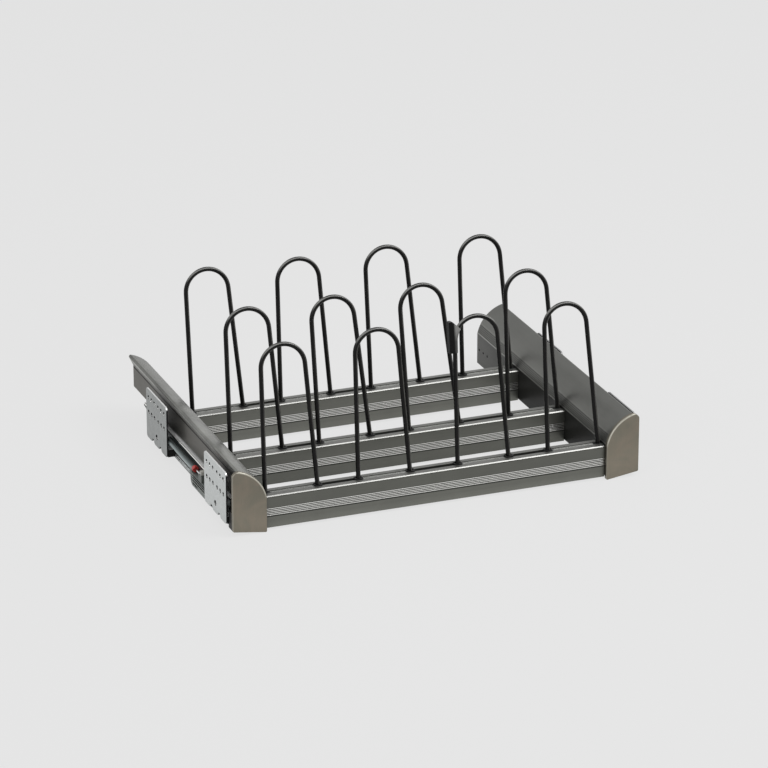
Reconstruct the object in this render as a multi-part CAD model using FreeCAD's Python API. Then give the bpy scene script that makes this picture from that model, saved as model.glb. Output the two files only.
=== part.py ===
import FreeCAD, Part
import math
import os

# Pull-out shoe rack for a wardrobe: three aluminium bars with bent wire hoops hang between two
# curved aluminium side rails, and the whole rack rides on two ball-bearing slides that are held
# on the wardrobe's sides by punched steel plates.
#
# Frame, in millimetres: X to the right, Y to the rear (the rack pulls out along -Y), +Z up.
# The origin is in the middle of the width and of the depth, at the level of the lowest point.
# Side pieces are drawn once, for the right side, and mirrored to the left.

# ---------------------------------------------------------------- overall sizes
CABINET_WIDTH = 564.0        # clear width between the wardrobe's sides
SIDE_WIDTH = 48.0            # from the wardrobe's side to the inner face of the rail
RACK_DEPTH = 441.0           # front face of the caps to the rear ends of the rails
PULL_OUT = 350.0             # travel of the rack on its slides

# ---------------------------------------------------------------- side rail (extrusion)
RAIL_WIDTH = 38.5            # inner face to the tip of the rolled lip
RAIL_WALL = 1.8
SKIRT_THICKNESS = 2.0        # lower inner wall, which carries the bars
SKIRT_BOTTOM = 5.0           # height of the skirt's lower edge
CURVE_START = 48.5           # height at which the inner wall turns into the curved face
CURVE_RADIUS = 50.0
CURVE_CENTRE_OUT = 49.0      # centre of the curved face, outward of the inner face
CREST_HEIGHT = 87.0
LIP_DROP = 3.2               # crest to the tip of the lip
LIP_UNDERCUT = 12.2          # height of the sloping face below the tip
LIP_OVERHANG = 5.9           # tip to the outer wall
LIP_ROUND = 3.0              # tip to where the curved face ends and the lip's rounding starts
LIP_BULGE = 1.2              # of the lip's rounding, outside its chord
WEB_UNDERSIDE = 41.0         # underside of the flat web that the slide hangs from
WEB_THICKNESS = 2.0
REVEAL_COUNT = 5             # fine grooves along the foot of the curved face
REVEAL_RADIUS = 0.45
REVEAL_START = 3.0           # along the curve, from its start to the first groove
REVEAL_PITCH = 2.4
REAR_HOLE_RADIUS = 1.8       # row of spare holes near the skirt's rear end
REAR_HOLE_COUNT = 3
REAR_HOLE_PITCH = 14.0
REAR_HOLE_SETBACK = 8.0
REAR_HOLE_HEIGHT = 26.5

# ---------------------------------------------------------------- front caps
CAP_THICKNESS = 5.0
CAP_WIDTH = 45.5
CAP_SLOPE = 6.0              # rise of the lower edge from the inner to the outer corner
CAP_CORNER = 1.2
CAP_SHOULDER = 6.2           # drop of the rounded outer shoulder below the crest
CAP_BULGE = 2.2              # of the rounded outer shoulder, outside its chord
CAP_EDGE = 0.8               # rounding of the front edge
PLUG_LENGTH = 12.0           # tongue that enters the rail's hollow
PLUG_WIDTH = 22.0
PLUG_HEIGHT = 10.5
PLUG_INSET = 6.0
FIT_GAP = 0.3                # room round a piece that seats in or beside another

# ---------------------------------------------------------------- cross bars (extrusion)
BAR_HEIGHT = 43.0
BAR_DEPTH = 24.0
BAR_WALL = 1.6
BAR_BOTTOM = 3.0
BAR_END_GAP = 0.1            # bar end to the rail's inner face
BAR_SETBACKS = {"front": 6.0, "middle": 137.5, "rear": 294.5}   # cap face to bar face
SLOT_WIDTH = 7.4
SLOT_DEPTH = 7.6
SLOT_CENTRE = 13.4           # front face of the bar to the middle of the slot
LINE_COUNT = 5               # fine turned lines along the front face
LINE_DEPTH = 0.4
LINE_WIDTH = 1.1
LINE_PITCH = 2.2
LINE_FIRST = 17.0            # below the top edge
BAR_EDGE = 1.2               # bright chamfer along the top front edge
PORT_OUTER_RADIUS = 4.0      # screw ports inside the bar
PORT_BORE_RADIUS = 2.05
PORT_DEPTH_POSITION = 5.2    # front face of the bar to the axis of the ports
PORT_HEIGHTS = (10.0, 25.5)  # above the bar's underside

# ---------------------------------------------------------------- wire hoops
WIRE_DIAMETER = 6.0
HOOP_LEAN = 8.3              # degrees, backward
HOOP_LENGTH = 195.3          # longest hoop: wire axis in the slot to the one at the top, along the lean
HOOP_TOP_RADIUS = 29.5
HOOP_FOOT_SPAN = 71.0
FOOT_BEND_RADIUS = 6.5
FOOT_INSET = 4.4             # end of the bar to the outermost foot's axis
FOOT_SHIFTS = {              # each hoop's feet, off an even spacing, from left to right
    "front": (0.0, -3.3, 3.8, 0.5),
    "middle": (0.0, -7.3, -11.2, 0.5),
    "rear": (1.5, -3.8, -4.2, -1.0),
}
TOP_SHIFTS = {               # each hand-bent hoop's round top, off the middle of its feet
    "front": (-1.5, -0.9, -1.3, -3.1),
    "middle": (-2.3, -7.0, -9.4, -2.3),
    "rear": (-4.3, -0.9, -4.6, -2.0),
}
TOP_DROPS = {                # each hoop's top below that of the longest one, along the lean
    "front": (2.8, 0.7, 0.7, 0.8),
    "middle": (1.1, 0.7, 0.5, 0.4),
    "rear": (0.0, 2.2, 1.5, 3.9),
}
WIRE_SEAT_GAP = 0.1          # wire to the floor of its slot
END_BLOCK_LENGTH = 11.0      # plastic insert that closes each end of a slot
INSERT_GAP = 0.15            # plastic insert to the walls of its slot
PAD_LENGTH = 11.0            # plastic pad round the foot of each inner leg
PAD_WIDTH = 10.0
PAD_THICKNESS = 1.2
PAD_CORNER = 2.5
PAD_HOLE_GAP = 1.0

# ---------------------------------------------------------------- clip on one hoop
CLIP_BAR = "front"
CLIP_HOOP = 2                # third hoop from the left
CLIP_HEIGHT = 41.2
CLIP_THICKNESS = 9.0
CLIP_TOP_DROP = 2.9          # top of the clip below the top of the hoop, along the lean
CLIP_REACH = 8.9             # axis of the hoop's shoulder to the clip's outer face
CLIP_TOP_LENGTH = 4.9        # level top of the clip, before the sloping end of its nose
CLIP_WRAP = 36.0             # degrees that the nose follows the top bend
CLIP_HOLD = 2.2              # wire's axis to the open side, through which the clip snaps on
CLIP_GRIP_GAP = 0.05

# ---------------------------------------------------------------- slides
SLIDE_LENGTH = 350.0
SLIDE_SETBACK = 34.0         # cap face to the front end of the slide
SLIDE_HEIGHT = 30.0
SLIDE_WIDTH = 12.7
SLIDE_TOP = 38.5
SLIDE_SIDE_ROOM = 11.0       # wardrobe's side to the outer face of the slide
MEMBER_THICKNESS = 1.4
BALL_RADIUS = 1.9
RACE_CLEARANCE = 0.05
RACE_DEPTH = 0.35
WEB_GAP = 1.0                # between the webs of nested members
RETAINER_THICKNESS = 0.4
RETAINER_MARGIN = 2.5        # retainer stays this far inside both members it runs in
BALLS_PER_ROW = 9
BALL_MARGIN = 5.7            # end of the retainer to the first ball
BALL_HOLE_GAP = 0.1
MEMBER_SHORTFALL = 10.0      # moving members are this much shorter than the fixed one
FLANGE_SHORTFALL = 0.7       # each nested flange stops this short of the next one's web
STOP_LENGTH = 7.5            # rubber stop under the fixed member's top flange
STOP_WIDTH = 5.0
STOP_HEIGHT = 14.0
REAR_TAPER_LENGTH = 23.5     # the fixed member's rear end is cut away below its top flange
REAR_TAPER_RISE = 5.5
MEMBER_CORNER = 1.2          # rounding of the fixed member's long outer edges
SHOULDER_STEP = 0.9          # lengthwise step pressed into the fixed member's face
STEP_HEIGHT = 12.0           # height of the stepped-in band above the member's underside
RIB_RISE = 1.7               # underside to the lower edge of the rib along the stepped-in band
RIB_WIDTH = 2.2
RIB_DEPTH = 1.3
RIB_GAP = 2.0                # rib's ends to the soft-close unit and to the rear plate's foot

# ---------------------------------------------------------------- hanger angle on the rail
ANGLE_THICKNESS = 1.8
ANGLE_WIDTH = 24.0
ANGLE_DROP = 26.0

# ---------------------------------------------------------------- plates on the wardrobe's side
PLATE_THICKNESS = 2.0
PLATE_LENGTH = 84.0
PLATE_BOTTOM = 10.0
PLATE_TOP = 80.0
PLATE_CORNER = 5.0
PLATE_LEAD = 15.0            # front plate's front edge, ahead of the slide
PLATE_TAIL = 45.0            # rear plate's rear edge to the slide's rear end
HOLE_RADIUS = 3.0
HOLE_OFFSETS = (8.0, 20.0, 32.0)     # from the plate's middle, to each side
HOLE_ROWS = (47.6, 68.2)             # heights of the two rows
ACCESS_HOLE_RADIUS = 4.0
ACCESS_HOLE_HEIGHT = 23.0
PLATE_LOBES = 3              # rounded lobes along the plate's lower edge
LOBE_HEIGHT = 5.0
LOBE_GAP = 6.0
LOBE_STRAIGHT = 0.4          # straight side of a lobe above its rounded corner
FOOT_STARTS = (1.0, 34.0)    # feet pressed in to the slide, from the plate's front edge
FOOT_LENGTH = 11.0

# ---------------------------------------------------------------- soft-close unit
DAMPER_RADIUS = 4.2
DAMPER_HEIGHT = 31.3         # height of the damper's axis
DAMPER_FRONT = 121.0         # slide's front end to the front of the damper
DAMPER_LENGTH = 104.0
DAMPER_END_LENGTH = 6.0      # coloured end piece
END_NOTCH_WIDTH = 1.4        # cross that is moulded into the end piece's face
END_NOTCH_DEPTH = 2.0
DAMPER_WALL = 0.8
ROD_RADIUS = 1.2
ROD_CLEARANCE = 0.05
ROD_KEPT = 12.0              # rod and piston still inside the damper when drawn out
PISTON_LENGTH = 3.0
CATCH_FRONT = 88.0           # slide's front end to the front of the catch, rack shut
CATCH_LENGTH = 13.0
CATCH_TRAVEL = 45.0
CATCH_HEIGHT = 7.6
CLAW_LENGTH = 7.0
CLAW_HEIGHT = 2.0
TRACK_END = 5.0              # track in front of the catch at the end of its travel
TRACK_REAR = 132.0           # slide's front end to the rear end of the track
TRACK_HEIGHT = 17.0
TRACK_CORNER = 9.0
TRACK_SLOT_LENGTH = 18.0
TRACK_SLOT_HEIGHT = 2.6
TRACK_GROOVES = (7.6, 11.2, 14.4)    # lengthwise grooves, above the track's underside
TRACK_GROOVE_WIDTH = 1.5
TRACK_GROOVE_DEPTH = 1.6
SADDLE_LENGTH = 8.0
SADDLE_RISE = 3.0            # saddle above the damper's lowest line
UNIT_GAP = 0.3               # soft-close unit to the slide and to the plates

# ---------------------------------------------------------------- fasteners and stops
SCREW_RADIUS = 2.0
SCREW_HEAD_RADIUS = 3.8
SCREW_HEAD_HEIGHT = 2.0
BAR_SCREW_LENGTH = 14.0
WEB_SCREW_REACH = 2.5        # screw tip above the web
WEB_SCREW_COUNT = 4
WEB_SCREW_MARGIN = 15.0      # end of the slide to the first screw of the angle
WEB_SCREW_INSET = 8.0        # slide's inner face to the line of those screws
RIVET_RADIUS = 1.8
RIVET_HEAD_RADIUS = 3.0
RIVET_HEAD_HEIGHT = 0.9
RIVET_COUNT = 3
RIVET_MARGIN = 30.0          # end of the slide to the first rivet
HOLE_GAP = 0.05              # fastener to the wall of its hole
STRIKER_RADIUS = 1.6
STRIKER_FLANGE_RADIUS = 2.6
STRIKER_FLANGE_HEIGHT = 1.0
BUFFER_HEIGHT = 21.0
BUFFER_CORNER = 2.0
BUFFER_INSET = 0.5           # cap's outer edge to the buffer
BUFFER_DROP = 3.5            # buffer's lower edge below the slide

# ---------------------------------------------------------------- places worked out from the sizes
CABINET_SIDE = CABINET_WIDTH / 2
INNER_FACE = CABINET_SIDE - SIDE_WIDTH
CAP_FACE = -RACK_DEPTH / 2
RAIL_FRONT = CAP_FACE + CAP_THICKNESS
RAIL_REAR = CAP_FACE + RACK_DEPTH
LIP_TIP = INNER_FACE + RAIL_WIDTH
OUTER_WALL = LIP_TIP - LIP_OVERHANG
SKIRT_OUTER = INNER_FACE + SKIRT_THICKNESS
CURVE_CENTRE = INNER_FACE + CURVE_CENTRE_OUT
CURVE_CENTRE_HEIGHT = CURVE_START - math.sqrt(CURVE_RADIUS ** 2 - CURVE_CENTRE_OUT ** 2)
LIP_HEIGHT = CREST_HEIGHT - LIP_DROP
CAP_OUTER = INNER_FACE + CAP_WIDTH
BAR_TOP = BAR_BOTTOM + BAR_HEIGHT
WIRE_RADIUS = WIRE_DIAMETER / 2
SLOT_FLOOR = BAR_TOP - SLOT_DEPTH
RUN_HEIGHT = SLOT_FLOOR + WIRE_SEAT_GAP + WIRE_RADIUS

SLIDE_FRONT = CAP_FACE + SLIDE_SETBACK
SLIDE_REAR = SLIDE_FRONT + SLIDE_LENGTH
SLIDE_OUTER = CABINET_SIDE - SLIDE_SIDE_ROOM
SLIDE_INNER = SLIDE_OUTER - SLIDE_WIDTH
SLIDE_BOTTOM = SLIDE_TOP - SLIDE_HEIGHT
SLIDE_MIDDLE = SLIDE_TOP - SLIDE_HEIGHT / 2
RACE_RADIUS = BALL_RADIUS + RACE_CLEARANCE
BALL_DROP = RACE_RADIUS - RACE_DEPTH          # flange face to the ball's centre
FLANGE_STEP = 2 * BALL_DROP + MEMBER_THICKNESS  # one member's flange to the next one's
MOVING_LENGTH = SLIDE_LENGTH - MEMBER_SHORTFALL
PLATE_INNER = CABINET_SIDE - PLATE_THICKNESS
UNIT_INNER = SLIDE_OUTER + UNIT_GAP
UNIT_OUTER = PLATE_INNER - UNIT_GAP
DAMPER_AXIS = (SLIDE_OUTER + PLATE_INNER) / 2


# ---------------------------------------------------------------- drawing helpers
ON_FACE = 0.01               # an edge this close to a plane lies on it


def point(x, y, z):
    return FreeCAD.Vector(x, y, z)


def box(x0, x1, y0, y1, z0, z1):
    return Part.makeBox(x1 - x0, y1 - y0, z1 - z0, point(x0, y0, z0))


def rod_x(y, z, radius, x0, x1):
    return Part.makeCylinder(radius, x1 - x0, point(x0, y, z), point(1, 0, 0))


def rod_y(x, z, radius, y0, y1):
    return Part.makeCylinder(radius, y1 - y0, point(x, y0, z), point(0, 1, 0))


def rod_z(x, y, radius, z0, z1):
    return Part.makeCylinder(radius, z1 - z0, point(x, y, z0), point(0, 0, 1))


def extrude_along_y(edges, y0, y1):
    """Solid of a closed XZ outline, drawn at y = 0, between two Y stations."""
    face = Part.Face(Part.Wire(edges))
    face.translate(point(0, y0, 0))
    return face.extrude(point(0, y1 - y0, 0))


def outline(*steps):
    """Edges of a closed XZ outline. A step is a corner (x, z) or an arc's (middle, end)."""
    edges = []
    start = steps[0]
    for step in steps[1:] + (steps[0],):
        if isinstance(step[0], tuple):
            middle, end = step
            a, b, c = (point(p[0], 0, p[1]) for p in (start, middle, end))
            edges.append(Part.Arc(a, b, c).toShape())
        else:
            end = step
            edges.append(Part.LineSegment(point(start[0], 0, start[1]), point(end[0], 0, end[1])).toShape())
        start = end
    return edges


def fused(shapes):
    solid = shapes[0].fuse(shapes[1:]) if len(shapes) > 1 else shapes[0]
    return solid.removeSplitter()


def group(solids):
    """Separate solids that share one node."""
    return Part.makeCompound(solids)


def mirrored(shape):
    return shape.mirror(point(0, 0, 0), point(1, 0, 0))


def save(name, shape):
    shape.exportStep("parts/" + name + ".step")


def save_pair(name, right_shape):
    save(name + "_right", right_shape)
    save(name + "_left", mirrored(right_shape))


def spread(first, last, count):
    """Evenly spaced stations, both ends included."""
    return [first + (last - first) * i / (count - 1) for i in range(count)]


# ---------------------------------------------------------------- side rail
def curve_height(x, radius=CURVE_RADIUS):
    """Height of the curved face, or of a face inside it, at a distance from the middle."""
    return CURVE_CENTRE_HEIGHT + math.sqrt(radius ** 2 - (CURVE_CENTRE - x) ** 2)


def curve_step(x0, x1, radius=CURVE_RADIUS):
    """Arc of the curved face from one distance to another, for outline()."""
    middle = (x0 + 3 * x1) / 4 if x0 > x1 else (3 * x0 + x1) / 4
    return ((middle, curve_height(middle, radius)), (x1, curve_height(x1, radius)))


def curve_point(distance):
    """(x, z) of the curved face at a distance along it from its start."""
    start_angle = math.asin((CURVE_START - CURVE_CENTRE_HEIGHT) / CURVE_RADIUS)
    angle = start_angle + distance / CURVE_RADIUS
    return CURVE_CENTRE - CURVE_RADIUS * math.cos(angle), CURVE_CENTRE_HEIGHT + CURVE_RADIUS * math.sin(angle)


def bulge_step(start, end, bulge):
    """Shallow arc that runs outward and down, for outline(); it bulges away from its chord."""
    dx, dz = end[0] - start[0], end[1] - start[1]
    chord = math.hypot(dx, dz)
    middle = ((start[0] + end[0]) / 2 - bulge * dz / chord, (start[1] + end[1]) / 2 + bulge * dx / chord)
    return middle, end


def make_rail():
    curve_end = LIP_TIP - LIP_ROUND
    outer = outline(
        (INNER_FACE, SKIRT_BOTTOM),
        (INNER_FACE, CURVE_START),
        curve_step(INNER_FACE, curve_end),
        bulge_step((curve_end, curve_height(curve_end)), (LIP_TIP, LIP_HEIGHT), LIP_BULGE),
        (OUTER_WALL, LIP_HEIGHT - LIP_UNDERCUT),
        (OUTER_WALL, WEB_UNDERSIDE),
        (SKIRT_OUTER, WEB_UNDERSIDE),
        (SKIRT_OUTER, SKIRT_BOTTOM),
    )
    inner_radius = CURVE_RADIUS - RAIL_WALL
    floor = WEB_UNDERSIDE + WEB_THICKNESS
    wall_inside = OUTER_WALL - RAIL_WALL
    lip_inside = LIP_TIP - 2 * RAIL_WALL
    hollow = outline(
        (SKIRT_OUTER, floor),
        (SKIRT_OUTER, curve_height(SKIRT_OUTER, inner_radius)),
        curve_step(SKIRT_OUTER, lip_inside, inner_radius),
        (lip_inside, LIP_HEIGHT - 2 * RAIL_WALL),
        (wall_inside, LIP_HEIGHT - LIP_UNDERCUT + RAIL_WALL / 2),
        (wall_inside, floor),
    )
    rail = extrude_along_y(outer, RAIL_FRONT, RAIL_REAR)
    cuts = [extrude_along_y(hollow, RAIL_FRONT, RAIL_REAR)]
    for i in range(REVEAL_COUNT):
        x, z = curve_point(REVEAL_START + i * REVEAL_PITCH)
        cuts.append(rod_y(x, z, REVEAL_RADIUS, RAIL_FRONT, RAIL_REAR))
    for i in range(REAR_HOLE_COUNT):
        y = RAIL_REAR - REAR_HOLE_SETBACK - i * REAR_HOLE_PITCH
        cuts.append(rod_x(y, REAR_HOLE_HEIGHT, REAR_HOLE_RADIUS, INNER_FACE, SKIRT_OUTER))
    for y, z in bar_screw_stations():
        cuts.append(rod_x(y, z, SCREW_RADIUS + HOLE_GAP, INNER_FACE, SKIRT_OUTER))
    for y in [plug_screw_station()] + web_screw_stations():
        cuts.append(rod_z(web_screw_line(), y, SCREW_RADIUS + HOLE_GAP, WEB_UNDERSIDE, floor))
    cuts.append(rod_x(striker_station(), striker_height(), STRIKER_RADIUS + HOLE_GAP,
                      wall_inside, OUTER_WALL))
    return rail.cut(cuts)


# ---------------------------------------------------------------- front cap
def plug_screw_station():
    return RAIL_FRONT + PLUG_LENGTH / 2


def make_front_cap():
    curve_end = LIP_TIP - LIP_ROUND
    shoulder = (CAP_OUTER, CREST_HEIGHT - CAP_SHOULDER)
    plate = outline(
        (INNER_FACE, CAP_CORNER),
        (INNER_FACE, CURVE_START),
        curve_step(INNER_FACE, curve_end),
        bulge_step((curve_end, curve_height(curve_end)), shoulder, CAP_BULGE),
        (CAP_OUTER, CAP_SLOPE + CAP_CORNER),
        (CAP_OUTER - CAP_CORNER, CAP_SLOPE),
        (INNER_FACE + CAP_CORNER, 0.0),
    )
    solid = extrude_along_y(plate, CAP_FACE, RAIL_FRONT)
    front_edges = [e for e in solid.Edges if e.BoundBox.YMax < CAP_FACE + ON_FACE]
    solid = solid.makeFillet(CAP_EDGE, front_edges)
    floor = WEB_UNDERSIDE + WEB_THICKNESS + FIT_GAP
    tongue = box(INNER_FACE + PLUG_INSET, INNER_FACE + PLUG_INSET + PLUG_WIDTH,
                 RAIL_FRONT - CAP_THICKNESS / 2, RAIL_FRONT + PLUG_LENGTH, floor, floor + PLUG_HEIGHT)
    bore = rod_z(web_screw_line(), plug_screw_station(), SCREW_RADIUS + HOLE_GAP, floor, floor + PLUG_HEIGHT)
    return solid.fuse(tongue).cut(bore)


# ---------------------------------------------------------------- cross bars
def bar_front(row):
    return CAP_FACE + BAR_SETBACKS[row]


def bar_end():
    return INNER_FACE - BAR_END_GAP


def bar_screw_stations():
    """(y, z) of every screw that holds a bar's end on the skirt."""
    return [(bar_front(row) + PORT_DEPTH_POSITION, BAR_BOTTOM + h)
            for row in BAR_SETBACKS for h in PORT_HEIGHTS]


def make_bar(row):
    end = bar_end()
    front = bar_front(row)
    rear = front + BAR_DEPTH
    slot_front = front + SLOT_CENTRE - SLOT_WIDTH / 2
    slot_rear = slot_front + SLOT_WIDTH
    solid = box(-end, end, front, rear, BAR_BOTTOM, BAR_TOP)
    bright_edge = [e for e in solid.Edges
                   if e.BoundBox.YMax < front + ON_FACE and e.BoundBox.ZMin > BAR_TOP - ON_FACE]
    solid = solid.makeChamfer(BAR_EDGE, bright_edge)
    lower_room = box(-end, end, front + BAR_WALL, rear - BAR_WALL,
                     BAR_BOTTOM + BAR_WALL, SLOT_FLOOR - BAR_WALL)
    upper_room = box(-end, end, front + BAR_WALL, slot_front - BAR_WALL,
                     SLOT_FLOOR - BAR_WALL, BAR_TOP - 2 * BAR_WALL)
    ports = [rod_x(front + PORT_DEPTH_POSITION, BAR_BOTTOM + h, PORT_OUTER_RADIUS, -end, end)
             for h in PORT_HEIGHTS]
    solid = solid.cut([lower_room, upper_room]).fuse(ports)
    cuts = [box(-end, end, slot_front, slot_rear, SLOT_FLOOR, BAR_TOP)]
    cuts += [rod_x(front + PORT_DEPTH_POSITION, BAR_BOTTOM + h, PORT_BORE_RADIUS, -end, end)
             for h in PORT_HEIGHTS]
    for i in range(LINE_COUNT):
        z = BAR_TOP - LINE_FIRST - i * LINE_PITCH
        cuts.append(box(-end, end, front, front + LINE_DEPTH, z - LINE_WIDTH, z))
    return solid.cut(cuts).removeSplitter()


# ---------------------------------------------------------------- wire hoops
def slot_line(row):
    return bar_front(row) + SLOT_CENTRE


def hoop_feet(row):
    """Middle of each hoop's two feet, from left to right."""
    reach = bar_end() - FOOT_INSET - HOOP_FOOT_SPAN / 2
    even = spread(-reach, reach, len(FOOT_SHIFTS[row]))
    return [x + shift for x, shift in zip(even, FOOT_SHIFTS[row])]


def hoop_tops(row):
    """Middle of each hoop's round top."""
    return [foot + shift for foot, shift in zip(hoop_feet(row), TOP_SHIFTS[row])]


def hoop_length(row, hoop):
    """Height of a hoop's topmost point above its feet, along the lean."""
    return HOOP_LENGTH - TOP_DROPS[row][hoop]


def tangent_point(centre_x, centre_h, foot_x):
    """Where a leg that starts at the foot, at h = 0, touches the hoop's round top."""
    dx, dh = foot_x - centre_x, -centre_h
    distance = math.hypot(dx, dh)
    side = 1 if foot_x > centre_x else -1
    angle = math.atan2(dh, dx) + side * math.acos(HOOP_TOP_RADIUS / distance)
    return centre_x + HOOP_TOP_RADIUS * math.cos(angle), centre_h + HOOP_TOP_RADIUS * math.sin(angle)


def wire_route(row):
    """The wire's axis, drawn upright in XZ with its runs at z = 0: lines and tangent arcs."""
    edges = []
    feet = hoop_feet(row)
    start = point(feet[0] - HOOP_FOOT_SPAN / 2, 0, 0)
    for i, top in enumerate(hoop_tops(row)):
        top_centre = hoop_length(row, i) - HOOP_TOP_RADIUS
        left_foot = feet[i] - HOOP_FOOT_SPAN / 2
        right_foot = feet[i] + HOOP_FOOT_SPAN / 2
        left_x, left_h = tangent_point(top, top_centre, left_foot)
        right_x, right_h = tangent_point(top, top_centre, right_foot)
        shoulder = point(left_x, 0, left_h)
        if i > 0:
            start = add_foot_bend(edges, start, point(left_foot, 0, 0), shoulder)
        edges.append(Part.LineSegment(start, shoulder).toShape())
        apex = point(top, 0, hoop_length(row, i))
        far_shoulder = point(right_x, 0, right_h)
        edges.append(Part.Arc(shoulder, apex, far_shoulder).toShape())
        right_corner = point(right_foot, 0, 0)
        if i < len(feet) - 1:
            next_foot = point(feet[i + 1] - HOOP_FOOT_SPAN / 2, 0, 0)
            start = add_foot_bend(edges, far_shoulder, right_corner, next_foot)
        else:
            edges.append(Part.LineSegment(far_shoulder, right_corner).toShape())
    return edges


def add_foot_bend(edges, start, corner, end):
    """Line towards a corner and the tangent arc round it; returns the end of the arc."""
    to_start = (start - corner).normalize()
    to_end = (end - corner).normalize()
    half = to_start.getAngle(to_end) / 2
    setback = FOOT_BEND_RADIUS / math.tan(half)
    enter = corner + to_start * setback
    leave = corner + to_end * setback
    bisector = (to_start + to_end).normalize()
    middle = corner + bisector * (FOOT_BEND_RADIUS / math.sin(half) - FOOT_BEND_RADIUS)
    edges.append(Part.LineSegment(start, enter).toShape())
    edges.append(Part.Arc(enter, middle, leave).toShape())
    return leave


def leaned(shape, row):
    """Turn an upright piece back by the hoops' lean and set it in the bar's slot."""
    shape.rotate(point(0, 0, 0), point(1, 0, 0), -HOOP_LEAN)
    shape.translate(point(0, slot_line(row), RUN_HEIGHT))
    return shape


def bent_rod(edges, radius):
    """Round rod whose axis follows a chain of lines and tangent arcs."""
    first = edges[0]
    start = first.valueAt(first.FirstParameter)
    section = Part.Wire(Part.makeCircle(radius, start, first.tangentAt(first.FirstParameter)))
    return Part.Wire(edges).makePipeShell([section], True, True)


def make_wire(row):
    return leaned(bent_rod(wire_route(row), WIRE_RADIUS), row)


def leg_rod(row, hoop, side, radius):
    """Round rod along one upright leg of a hoop, from below the bar's slot to the top bend."""
    foot = hoop_feet(row)[hoop] + side * HOOP_FOOT_SPAN / 2
    top_centre = hoop_length(row, hoop) - HOOP_TOP_RADIUS
    shoulder_x, shoulder_h = tangent_point(hoop_tops(row)[hoop], top_centre, foot)
    shoulder = point(shoulder_x, 0, shoulder_h)
    along = shoulder - point(foot, 0, 0)
    start = point(foot, 0, 0) - along * (SLOT_DEPTH / shoulder_h)
    return Part.makeCylinder(radius, (shoulder - start).Length, start, along)


def make_end_blocks(row):
    """Two plastic inserts that close the slot and hold the first and the last foot."""
    front = slot_line(row) - SLOT_WIDTH / 2 + INSERT_GAP
    rear = slot_line(row) + SLOT_WIDTH / 2 - INSERT_GAP
    blocks = []
    for side, hoop in ((-1, 0), (1, len(FOOT_SHIFTS[row]) - 1)):
        x0, x1 = sorted((side * bar_end(), side * (bar_end() - END_BLOCK_LENGTH)))
        block = box(x0, x1, front, rear, SLOT_FLOOR + WIRE_SEAT_GAP, BAR_TOP)
        room = leaned(leg_rod(row, hoop, side, WIRE_RADIUS + HOLE_GAP), row)
        blocks.append(block.cut(room))
    return group(blocks)


def make_foot_pads(row):
    """Thin plastic pads on the bar's top, one round each inner leg."""
    pads = []
    legs = [(hoop, side) for hoop in range(len(FOOT_SHIFTS[row])) for side in (-1, 1)]
    for hoop, side in legs[1:-1]:
        foot = hoop_feet(row)[hoop] + side * HOOP_FOOT_SPAN / 2
        pad = box(foot - PAD_LENGTH / 2, foot + PAD_LENGTH / 2,
                  slot_line(row) - PAD_WIDTH / 2, slot_line(row) + PAD_WIDTH / 2,
                  BAR_TOP, BAR_TOP + PAD_THICKNESS)
        corners = [e for e in pad.Edges if e.BoundBox.ZLength > PAD_THICKNESS / 2]
        pad = pad.makeFillet(PAD_CORNER, corners)
        room = leaned(leg_rod(row, hoop, side, WIRE_RADIUS + PAD_HOLE_GAP), row)
        pads.append(pad.cut(room))
    return group(pads)


def make_hoop_clip():
    """Clip snapped onto the left leg of one hoop: its nose follows the start of the top bend."""
    centre = hoop_tops(CLIP_BAR)[CLIP_HOOP]
    length = hoop_length(CLIP_BAR, CLIP_HOOP)
    bend_height = length - HOOP_TOP_RADIUS
    top = length - CLIP_TOP_DROP
    bottom = top - CLIP_HEIGHT
    left = centre - HOOP_TOP_RADIUS - CLIP_REACH
    open_radius = HOOP_TOP_RADIUS - CLIP_HOLD

    def open_side(degrees):
        angle = math.radians(degrees)
        return centre - open_radius * math.cos(angle), bend_height + open_radius * math.sin(angle)

    foot = hoop_feet(CLIP_BAR)[CLIP_HOOP] - HOOP_FOOT_SPAN / 2
    shoulder_x, shoulder_h = tangent_point(centre, bend_height, foot)
    leg = foot + (shoulder_x - foot) * bottom / shoulder_h
    body = outline(
        (left, bottom), (left, top), (left + CLIP_TOP_LENGTH, top),
        open_side(CLIP_WRAP),
        (open_side(CLIP_WRAP / 2), open_side(0)),
        (leg + CLIP_HOLD, bottom),
    )
    clip = extrude_along_y(body, -CLIP_THICKNESS / 2, CLIP_THICKNESS / 2)
    room = bent_rod(hoop_half(CLIP_BAR, CLIP_HOOP), WIRE_RADIUS + CLIP_GRIP_GAP)
    return leaned(clip.cut(room), CLIP_BAR)


def hoop_half(row, hoop):
    """Axis of a hoop's left leg and of its round top."""
    length = hoop_length(row, hoop)
    top_centre = length - HOOP_TOP_RADIUS
    top = hoop_tops(row)[hoop]
    foot = hoop_feet(row)[hoop] - HOOP_FOOT_SPAN / 2
    shoulder_x, shoulder_h = tangent_point(top, top_centre, foot)
    shoulder = point(shoulder_x, 0, shoulder_h)
    leg = Part.LineSegment(point(foot, 0, 0), shoulder).toShape()
    far_side = point(top + HOOP_TOP_RADIUS, 0, top_centre)
    bend = Part.Arc(shoulder, point(top, 0, length), far_side).toShape()
    return [leg, bend]


# ---------------------------------------------------------------- slides
def channel(web, opening, reach, z0, z1, y0, y1, thickness=MEMBER_THICKNESS):
    """C-section along Y: its web stands at x = web and its flanges reach towards the opening."""
    web_far = web + opening * thickness
    tip = web + opening * reach
    x0, x1 = sorted((web, web_far))
    t0, t1 = sorted((web, tip))
    return fused([
        box(x0, x1, y0, y1, z0, z1),
        box(t0, t1, y0, y1, z0, z0 + thickness),
        box(t0, t1, y0, y1, z1 - thickness, z1),
    ])


def cabinet_web():
    return SLIDE_OUTER


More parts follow.
